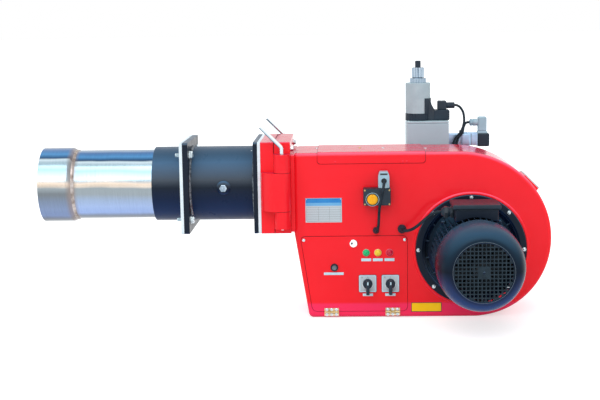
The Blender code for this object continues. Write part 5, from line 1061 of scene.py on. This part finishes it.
def make_door():
    reset, keyhole, lamp_z = (399.8, -DOOR_FACE, -214.8), (450.7, -DOOR_FACE, -150.9), -175.8

    def facets(angle, radius, along):
        return 0.12 * math.sin(angle * 24) if 3 < radius < 8 else 0

    corners = [(312, -132), (591.4, -132), (591.4, -333), (341.5, -333)]
    sheet = plate("door_sheet", RED, "front", 100.3, DOOR_FACE, rounded(corners, 14, 10),
        circle(7.7, (reset[0], reset[2]), 40), circle(6.5, (keyhole[0], keyhole[2]), 40))
    settle(sheet, "panel_door", body=DOOR, weighted=False)
    # Painted shade: a dark strip round the door, in the gap along its edge.
    gap_strip = plate("door_gap_shade", GAP_SHADE, "front", 99.6, 100.4,
        rounded([(310.7, -130.9), (592.5, -130.9), (592.5, -334.1), (340.3, -334.1)], 15, 10),
        rounded([(318.5, -138), (585.4, -138), (585.4, -327), (346.5, -327)], 10, 8))
    settle(gap_strip, body=DOOR, slot="black_plastic")
    for number, x in enumerate((487, 546.8), 1):
        make_switch(number, x)
    settle(lathe("reset_bezel", PLASTIC, "front", [(6.7, 5.2, 0.6), (8.6, 6, 0.8), (10.2, 4, 1.4), (10.2, 0, 0.3),
        (6.7, 0)], 72, reset), body=DOOR)
    settle(lathe("reset_cap", CAP, "front", [(0, 6.8), (2.6, 6.8, 0.4), (3, 7.6, 0.4), (6.2, 7.8, 0.7), (6.2, -7.4),
        (0, -7.4)], 56, reset), "reset_button", body="reset", slot="plug_grey")
    for name, x in (("green", 483.8), ("yellow", 514.3), ("red", 544.7)):
        settle(lathe(f"lens_{name}", LAMPS[name], "front", [(0, 8.5), (3, 8.4, 1.5), (5.8, 7.4, 1.5), (8, 5.2, 1),
            (8.8, 4.4, 0.6), (8.8, 0.3), (0, 0.3)], 72, (x, -DOOR_FACE, lamp_z), facets),
            f"lamp_{name}", body=DOOR, smooth=25)
        core = lathe(f"lens_core_{name}", LAMP_CORES[name], "front", [(0, 8.45), (1, 8.6, 0.3), (2.2, 8.2, 0.3),
            (2.2, 7), (0, 7)], 6, (x, -DOOR_FACE, lamp_z))
        settle(core, body=DOOR, smooth=10)
        # A real bezel, its pale tint a painted highlight.
        rim = lathe(f"lamp_rim_{name}", RIMS[name], "front", [(8.6, 4.2, 0.3), (9.5, 3.6, 0.5), (9.7, 0.2),
            (8.6, 0.2)], 72, (x, -DOOR_FACE, lamp_z))
        settle(rim, body=DOOR)
        make_label(f"lamp_label_{name}", x, -195, 26, 7.8)
    make_label("reset_label", 398, -231.5, 52, 7)
    make_label("switch_label_1", 487.5, -289, 27, 7)
    make_label("switch_label_2", 546.7, -289, 27, 7)
    lock = lathe("lock_barrel", CHROME, "front", [(0, 2.9), (6, 2.9, 0.5), (6.6, 3.5, 0.4), (9.8, 3.4, 1.2),
        (11, 1.2, 0.6), (11, 0.3), (6, 0.3), (6, -7.8), (0, -7.8)], 96, keyhole)
    slot = cuboid("key_slot", CHROME, (444, -DOOR_FACE - 6, -152.3), (448.8, -DOOR_FACE - 1.2, -148.9), 0.8, 2)
    cut(lock, slot)
    settle(lock, "door_lock", body="lock")
    # Painted shade: a near-black block inside the key slot.
    settle(cuboid("keyway_shade", PRINT_AND_SHADE_BLACK, (443.8, -DOOR_FACE - 3.1, -153.2), (448.4, -DOOR_FACE - 0.8, -147.8), 0.2, 1),
        body="lock")
    settle(cuboid("lock_cam", ZINC, (445.7, -95, -155.9), (471.7, -92.5, -145.9), 0.6, 2), body="lock")
    screw = fastener("door_screw", ZINC, pan_head(4.3, 2.2))
    instances("door_screw", screw, [(x, -DOOR_FACE, z) for x, z in ((320, -141.2), (584.6, -142))], "front", 40,
        body=DOOR)
    for number in (1, 2):
        dress(f"door_leaf_{number}", BRASS, 0.3, 2, 40)
        dress(f"case_leaf_{number}", BRASS, 0.3, 2, 40)
    small = fastener("leaf_screw", ZINC, pan_head(4.4, 2))
    for number, middle in enumerate((391.4, 552.8), 1):
        for i in range(3):
            x = middle + (i - 1) * 12.5
            instance(f"door_leaf_screw_{number}_{i + 1}", small, (x, -103.7, -328.2), "front", 50 * i, body=DOOR)
            instance(f"case_leaf_screw_{number}_{i + 1}", small, (x, -101.9, -341.8), "front", 40 * i)


def make_label(name, x, z, width, height):
    settle(cuboid(name, LABEL, (x - width / 2, -DOOR_FACE - 0.9, z - height / 2), (x + width / 2, -DOOR_FACE + 0.2,
        z + height / 2), 0.4, 2), body=DOOR)
    settle(cuboid(name + "_field", LABEL, (x - width / 2 + 1.4, -DOOR_FACE - 1.05, z - height / 2 + 1.4),
        (x + width / 2 - 1.4, -DOOR_FACE - 0.5, z + height / 2 - 1.4), 0.1, 1), body=DOOR)


def make_switch(number, x):
    """Grey plate with a recessed field, round base, pointer handle and its white mark."""
    z, half, face = -258.5, 22.65, DOOR_FACE + 3.5
    side = 2 * half
    loop = rounded(rectangle(side + 1.6, side + 1.6, (x, z)), 4.5, 6)
    edge = plate(f"switch_edge_{number}", PLASTIC, "front", DOOR_FACE - 0.2, face - 1, loop)
    bevel(edge, 0.4, 2, 50)
    settle(edge, body=DOOR)
    loop = rounded(rectangle(side, side, (x, z)), 3.8, 6)
    frame_piece = plate(f"switch_plate_{number}", LABEL, "front", DOOR_FACE - 0.3, face, loop)
    bevel(frame_piece, 0.6, 2, 50)
    recess = plate(f"switch_recess_{number}", LABEL, "front", face - 0.6, face + 2,
        rounded(rectangle(39.6, 39.6, (x, z)), 1.8, 4))
    cut(frame_piece, recess)
    settle(frame_piece, body=DOOR)
    settle(cuboid(f"switch_field_{number}", FOIL, (x - 19.6, -face + 0.4, z - 19.6), (x + 19.6, -face + 1.2,
        z + 19.6), 0.2, 1), body=DOOR)
    settle(cuboid(f"switch_block_{number}", PLASTIC, (x - 20, -100.4, z - 20), (x + 20, -55.3, z + 20), 1.5, 2),
        body=DOOR)
    body = ("left_switch", "right_switch")[number - 1]
    base = lathe(f"knob_base_{number}", PLASTIC, "front", [(0, 12), (10.5, 12, 1.2), (13, 8.8, 1.2), (13, 0.3),
        (0, 0.3)], 72, (x, -face, z), wave=ribs(30, 0.3, 11.8))
    handle = cuboid(f"knob_handle_{number}", PLASTIC, (x - 4.5, -face - 24, z - 26.5), (x + 4.5, -face - 2, z + 11),
        2.2, 4)
    settle(join(base, handle), f"switch_knob_{number}", body=body)
    settle(cuboid(f"knob_mark_{number}", LABEL, (x - 1.8, -face - 24.05, z + 1), (x + 1.8, -face - 23.6, z + 8.8),
        0.1, 1), body=body)
    settle(lathe(f"knob_ring_{number}", ZINC, "front", [(13.4, -0.6), (14.7, -0.6, 0.2), (14.7, 0.3, 0.3),
        (13.4, 0.3)], 72, (x, -face, z)), body=DOOR)
    for index, (text, dx) in enumerate((("0", -14.5), ("1", 0)), 1):
        letters = bpy.data.curves.new(f"mark_{number}_{index}", "FONT")
        letters.body = text
        letters.size = 5.8 / 1000
        letters.extrude = 0.08 / 1000
        letters.align_x = letters.align_y = "CENTER"
        mesh = frozen(letters, standing((x + dx, -face + 0.35, z + 16.3), "front"))
        settle(add(f"switch_mark_{number}_{index}", mesh, PRINT_AND_SHADE_BLACK), body=DOOR, weighted=False)


# Pressure switch, plates and cables on the casing's face


def make_pressure_switch():
    low, high = (477, -137, -46.8), (548, -100.3, -2)
    x, z = 500.4, -29.9
    centre, hole = (x, 0, z), (530.5, 0, 17.6)
    settle(cuboid("switch_body", PLASTIC, (low[0], -133.5, low[2]), high, 3, 4), "pressure_switch")
    cover = cuboid("switch_cover", PLASTIC, (low[0] + 1, low[1], low[2] + 1), (high[0] - 1, -134.2, high[2] - 1), 1.2,
        3)
    well = rod("well", PLASTIC, "front", 17.2, 130, 140, centre, steps=72)
    cut(cover, well)
    settle(cover)
    settle(lathe("dial_scale", PLASTIC, "front", [(13.9, 134.5), (13.9, 135.2), (16.8, 135.2, 0.2), (16.8, 134.5)],
        96, centre))
    work = bmesh.new()
    for i in range(25):
        angle = math.radians(-135 + 270 * i / 24 + 90)
        long = 1.1 if i % 4 else 2
        middle = Vector(((16.2 - long / 2) * math.cos(angle), (16.2 - long / 2) * math.sin(angle), 135.28))
        spot = Matrix.Translation(middle) @ Matrix.Rotation(angle, 4, "Z")
        bmesh.ops.create_cube(work, size=1, matrix=spot @ Matrix.Diagonal((long, 0.5, 0.2, 1)))
    placed(work, centre, "front")
    settle(from_bmesh("dial_ticks", work, LABEL), weighted=False)
    settle(lathe("cover_ring", LABEL, "front", [(16.5, 136.2), (16.5, 137.4, 0.3), (17.3, 137.4, 0.3), (17.6, 136.2)],
        96, centre))
    dial = lathe("dial_knob", DIAL, "front", [(0, 140), (10, 140, 0.6), (10.6, 138.8, 0.3), (12.5, 138.6, 0.4),
        (13.4, 137.8, 0.4), (13.4, 137.3), (0, 137.3)], 96, centre)
    slot = cuboid("dial_slot", DIAL, (x - 1, -142, z - 8), (x + 1, -138.8, z + 8), 0.3, 1)
    slot_b = cuboid("dial_slot_b", DIAL, (x - 5.5, -142, z + 4), (x + 5.5, -139.2, z + 5.2), 0.2, 1)
    cut(dial, slot, slot_b)
    settle(dial, "pressure_dial", body="dial")
    settle(cuboid("dial_pointer", PRINT_AND_SHADE_BLACK, (x - 0.5, -138.85, z + 10.4), (x + 0.5, -138.3, z + 13), 0.1, 1), body="dial")
    screw = fastener("switch_screw", BRASS, pan_head(2.4, 1))
    instances("switch_screw", screw, [(sx, -136.9, sz) for sx, sz in ((481, -6.2), (481, -42.5), (544, -42.5),
        (544, -6.2))], "front", 35)
    settle(cuboid("switch_tag", PLASTIC, (525, -136.9, -40), (541.5, -136.4, -8.5), 0.2, 1))
    shape = [(515.7, -1.7), (544.7, -1.7), (544.7, 29.4), (540.7, 41.4), (519.7, 41.4), (515.7, 29.4)]
    plug = plate("plug_body", PLUG, "front", 104, 132.8, rounded(shape, 3, 4))
    bevel(plug, 2.2, 4, 50)
    hood = cuboid("slot", PLUG, (521.5, -140, 33.5), (538.9, -130, 36.8), 0.8, 2)
    well = rod("hole", PLUG, "front", 7.2, 122, 140, hole, steps=48)
    cut(plug, hood, well)
    settle(plug, "switch_plug")
    # Painted shade: a near-black block inside the plug's slot.
    settle(cuboid("plug_slot_shade", PRINT_AND_SHADE_BLACK, (520.5, -133.1, 32.8), (539.9, -129.6, 37.4), 0.8, 2))
    settle(lathe("plug_collar", PLUG, "front", [(7.2, 130), (7.2, 135, 0.4), (8.8, 135, 0.6), (9.3, 130)], 64, hole))
    # A bush in the plug's hole, near-black as painted shade of the hole.
    settle(lathe("plug_bush", PRINT_AND_SHADE_BLACK, "front", [(2.8, 123), (2.8, 133.4, 0.6), (7, 132.6, 0.6), (7.1, 123)], 48, hole))
    settle(cuboid("plug_rib", PLUG, (522.8, -133.6, -1), (538.2, -132.5, 7.2), 0.5, 2))


def make_plates():
    """The name plate and the voltage plate, both left without words."""
    x0, x1, z0, z1 = 325.6, 421, -94.7, -30
    settle(cuboid("name_plate", FOIL, (x0, -100.9, z0), (x1, -99.9, z1), 0.4, 2))
    settle(cuboid("name_band", BLUE, (x0 + 0.8, -101.1, z1 - 12.5), (x1 - 0.8, -100.5, z1 - 0.8), 0.1, 1))
    settle(cuboid("name_strip", SKY, (x0 + 0.8, -101.1, z1 - 20.5), (x1 - 0.8, -100.5, z1 - 12.5), 0.1, 1))
    work = bmesh.new()

    def stroke(a, b, c, d):
        centre = ((a + b) / 2, -100.95, (c + d) / 2)
        size = Matrix.Diagonal((b - a, 0.22, d - c, 1))
        bmesh.ops.create_cube(work, size=1, matrix=Matrix.Translation(centre) @ size)

    for i in range(7):
        z = z0 + 3 + i * 6.2
        stroke(x0 + 3, x1 - 3, z, z + 0.3)
    for x in (x0 + 3, x0 + 34, x0 + 63, x1 - 3.3):
        stroke(x, x + 0.3, z0 + 3, z0 + 40.5)
    placed(work)
    settle(from_bmesh("name_grid", work, RUBBER), weighted=False)
    rivet = fastener("plate_rivet", ZINC, turned([(0, 0.7), (1, 0.5, 0.4), (1.4, 0), (0, 0)], 20))
    instances("plate_rivet", rivet, [(x, -101, z) for x, z in ((x0 + 2.5, z0 + 2.2), (x1 - 2.5, z0 + 2.2),
        (x0 + 3, z1 - 3), (x1 - 3, z1 - 3))], "front")
    settle(cuboid("voltage_plate", PLASTIC, (601.8, -100.7, -336.3), (681.4, -99.9, -311.3), 0.3, 2))
    settle(cuboid("voltage_field", YELLOW, (603.2, -100.85, -334.9), (680, -100.4, -312.7), 0.1, 1))


def make_glands_and_cables():
    def grooves(angle, radius, along):
        return -0.4 * (0.5 + 0.5 * math.cos(angle * 12)) if along > 110 else 0

    for name, x, z, radius in (("switch", 509.8, -116.3, 8.5), ("motor", 577.6, -113, 11.5)):
        name += "_cable_gland"
        settle(lathe(name + "_cap", PLASTIC, "front", [(radius * 0.36, 118, 0.4), (radius * 0.62, 118, 1),
            (radius * 0.86, 114, 1.5), (radius * 0.88, 109, 0.4), (radius * 0.99, 108.8, 0.6), (radius * 0.99, 100.3),
            (radius * 0.36, 100.3)], 48, (x, 0, z), grooves), name)
        settle(lathe(name + "_hex", PLASTIC, "front", [(0, 103), (radius * 0.94, 103), (radius, 103.8),
            (radius, 108.2), (radius * 0.94, 109), (0, 109)], 6, (x, 0, z)), smooth=20)
    routes = {
        "switch_cable": (3.6, (
            (530.5, -129, 17.6), (530.5, -142, 17.2), (528.5, -153, 5), (523, -157, -23), (517.5, -153, -54),
            (516, -146.5, -82), (514.5, -139, -102), (510.5, -128, -115.5), (509.8, -115, -116.3))),
        "motor_cable": (4, (
            (677, -190, -55.5), (662, -189.9, -56), (644, -182, -66.5), (628, -170, -82), (611, -158, -99),
            (593, -143, -110.5), (578.2, -128, -112.9), (577.6, -115, -113))),
        "valve_cable": (3.5, (
            (734, 158, 190), (744, 158, 189.7), (757, 157, 179), (764, 156, 156), (762, 155, 133), (755, 154, 116),
            (736.5, 153, 90), (734.5, 148, 66), (735, 135, 42), (736, 120, 30.4), (736, 106, 30))),
        "pilot_cable": (3.5, (
            (785, 190, 139), (775, 189.5, 138.5), (766, 178, 129), (761, 165, 115), (748, 161, 95), (743, 154, 70),
            (752, 139, 43), (757.5, 122, 30.4), (758, 106, 30)))}
    for name, (radius, route) in routes.items():
        settle(pipe(name + "_sheath", RUBBER, route, radius), name, slot="cable", weighted=False)
    band = lathe("cable_tie", PLASTIC, "z", [(7.2, -1.6), (8.6, -1.6, 0.4), (8.6, 1.6, 0.4), (7.2, 1.6)], 40)
    squeeze = Matrix.Diagonal((0.82, 1.15, 1, 1))
    tilt = standing((758.5, 160, 114.5)) @ Matrix.Rotation(math.radians(28), 4, "Y") @ squeeze
    band.data.transform(tilt)
    settle(band)
    head = cuboid("cable_tie_head", PLASTIC, (-10.2, -2.8, -2.4), (-6.6, 2.8, 2.4), 0.6, 2)
    head.data.transform(tilt)
    settle(head)


# Gas valve and pipe


def make_gas_line():
    dress("gas_elbow", BLACK, 0.8, 2, 50)
    paint(BLACK, "gas_manifold")
    block = cuboid("block", VALVE, (603, 108, -2), (718, 208, 144), 2.2, 4)
    inlet = cuboid("inlet", VALVE, (717, 124, 6), (728, 192, 74), 1.2, 3)
    bore = rod("bore", VALVE, "x", 22, 683, 738, (0, 158, 40), steps=64)
    join(block, inlet)
    cut(block, bore)
    settle(block, "valve_block")
    settle(cuboid("block_cover", VALVE, (603, 108, 144.4), (718, 208, 150), 1.4, 3))
    screw = fastener("block_screw", ZINC, pan_head(3.6, 1.6))
    instances("block_screw", screw, [(x, y, 149.4) for y in (113.5, 202.5) for x in (609, 712)], "z", 20)
    bolt = fastener("pipe_bolt", ZINC, hex_head(6.2, 5, 1.2))
    for number, (y, z) in numbered_pairs((132, 184), (14, 66)):
        instance(f"inlet_bolt_{number}", bolt, (721.6, y, z), "x", 14 * number)
        instance(f"elbow_bolt_{number}", bolt, (592.6, y, z), "-x", 9 * number)
    instances("wall_bolt", bolt, [(x, 108.5, z) for z in (12, 68) for x in (411, 479)], "back", 12)
    settle(lathe("coil_ring", PLASTIC, "z", [(0, 150.3), (35.1, 150.3, 1), (35.1, 170, 0.8), (0, 170)], 240, COIL,
        wave=notches(20, 1, 34)))
    settle(lathe("coil", COIL_GREY, "z", [(0, 254), (34.5, 254, 1.6), (34.5, 170, 0.6), (0, 170)], 128, COIL),
        "solenoid_coil")
    settle(lathe("coil_neck", NECK, "z", [(0, 267.5), (20, 267.5, 0.6), (23, 266, 0.8), (23, 254), (0, 254)], 96,
        COIL))
    settle(lathe("adjuster_knob", NECK, "z", [(0, 296.5), (15, 296.5, 0.6), (17.2, 295, 0.8), (17.2, 269, 0.8),
        (15, 268, 0.4), (0, 268)], 240, COIL, wave=notches(12, 1.8, 14.5)), "flow_adjuster", body="adjuster")
    settle(lathe("adjuster_cap", PLASTIC, "z", [(0, 315), (6.6, 315, 0.8), (7.9, 313.6, 0.8), (7.9, 296), (0, 296)],
        144, COIL, wave=ribs(24, 0.4, 7)), body="adjuster")
    dress("valve_connector", PLASTIC, 0.8, 2, 35)
    front, back = arc((0, 0), 36.6, -62, 6, 20), arc((0, 0), 34.6, 6, -62, 20)
    strap = plate("coil_strap", PLASTIC, "z", 170, 211.6, [(COIL[0] + u, COIL[1] + v) for u, v in (*front, *back)])
    bevel(strap, 0.8, 2, 40)
    settle(strap)
    settle(pipe("strap_rib", CAP, [(669, 138.5, 203), (673.5, 140, 186), (679, 141.5, 172)], 1.6),
        slot="black_plastic")
    settle(lathe("valve_gland", PLASTIC, "x", [(0, 737.2), (5, 737.2, 1), (8.4, 733, 1), (8.8, 723, 0.6), (7.5, 714),
        (0, 714)], 60, (0, 158, 190), wave=ribs(12, 0.5, 7)))
    settle(cuboid("pilot_body", CAST, (718.3, 172, 76), (804, 208, 108), 1.6, 3), "pilot_valve")
    settle(cuboid("pilot_band", CAST, (758.5, 170.5, 74.6), (784.5, 209.3, 109.6), 3.4, 4))
    # Painted shade: darker strips for the grooves round the pilot body.
    for number, x in enumerate((757.2, 785.8), 1):
        settle(cuboid(f"pilot_groove_{number}", CAP, (x - 0.8, 171.6, 75.7), (x + 0.8, 208.3, 108.4), 0.3, 1),
            slot="die_cast")
    settle(rod("pilot_boss", CAST, "z", 10.5, 107, 111.5, (766, 190, 0), 1.2, 48))
    settle(cuboid("pilot_step", CAST, (779, 173.5, 107.5), (803.5, 206.5, 110.5), 0.8, 2))
    settle(cuboid("pilot_joint", CAST, (799, 170.5, 74.5), (803.5, 209.5, 109), 0.6, 2))
    settle(cuboid("pilot_coil", PLASTIC, (803, 169, 72), (837, 211, 109), 4.2, 4))
    settle(cuboid("pilot_plug", PLUG, (805.5, 177, 113.5), (830, 203, 155), 4.8, 4))
    settle(cuboid("pilot_plug_foot", PLUG, (804.5, 175.5, 108), (831.2, 204.5, 114.5), 1.5, 3))
    settle(lathe("pilot_gland", PLUG, "x", [(0, 782.3), (7, 782.3, 1), (10, 785, 0.8), (10.5, 788.5, 0.5),
        (8.8, 789, 0.3), (8.8, 791.5, 0.3), (10.2, 792, 0.6), (9.8, 806), (0, 806)], 72, (0, 190, 139),
        wave=ribs(18, 0.4, 9.5)))
    small = fastener("plug_screw", ZINC, pan_head(2.6, 1.2))
    instance("pilot_plug_screw", small, (817.8, 190, 154.5), "z", 20)
    instance("valve_plug_screw", small, (702, 158, 203), "z", 50)


# Air intake behind the casing


def make_intake():
    dress("air_intake", BLACK, 0.9, 2, 40)
    dress("air_servomotor", PLASTIC, 0.6, 2, 40)
    dress("air_damper", ZINC, 0.3, 1, 40)
    dress("control_board", PLUG, 0.6, 2, 40)
    settle(cuboid("servo_tag", FOIL, (870, 177.5, -278), (905, 179, -230), 0.2, 1))
    screw = fastener("duct_screw", ZINC, pan_head(4.2, 2.2))
    for number, (x, z) in numbered_pairs((672, 758, 844), (-78, -290)):
        instance(f"duct_screw_{number}", screw, (x, 190.3, z), "back", 31 * number)


make_camera()
make_studio()
make_head()
make_hinge()
make_casing()
make_lid()
make_motor()
make_door()
make_pressure_switch()
make_plates()
make_glands_and_cables()
make_gas_line()
make_intake()
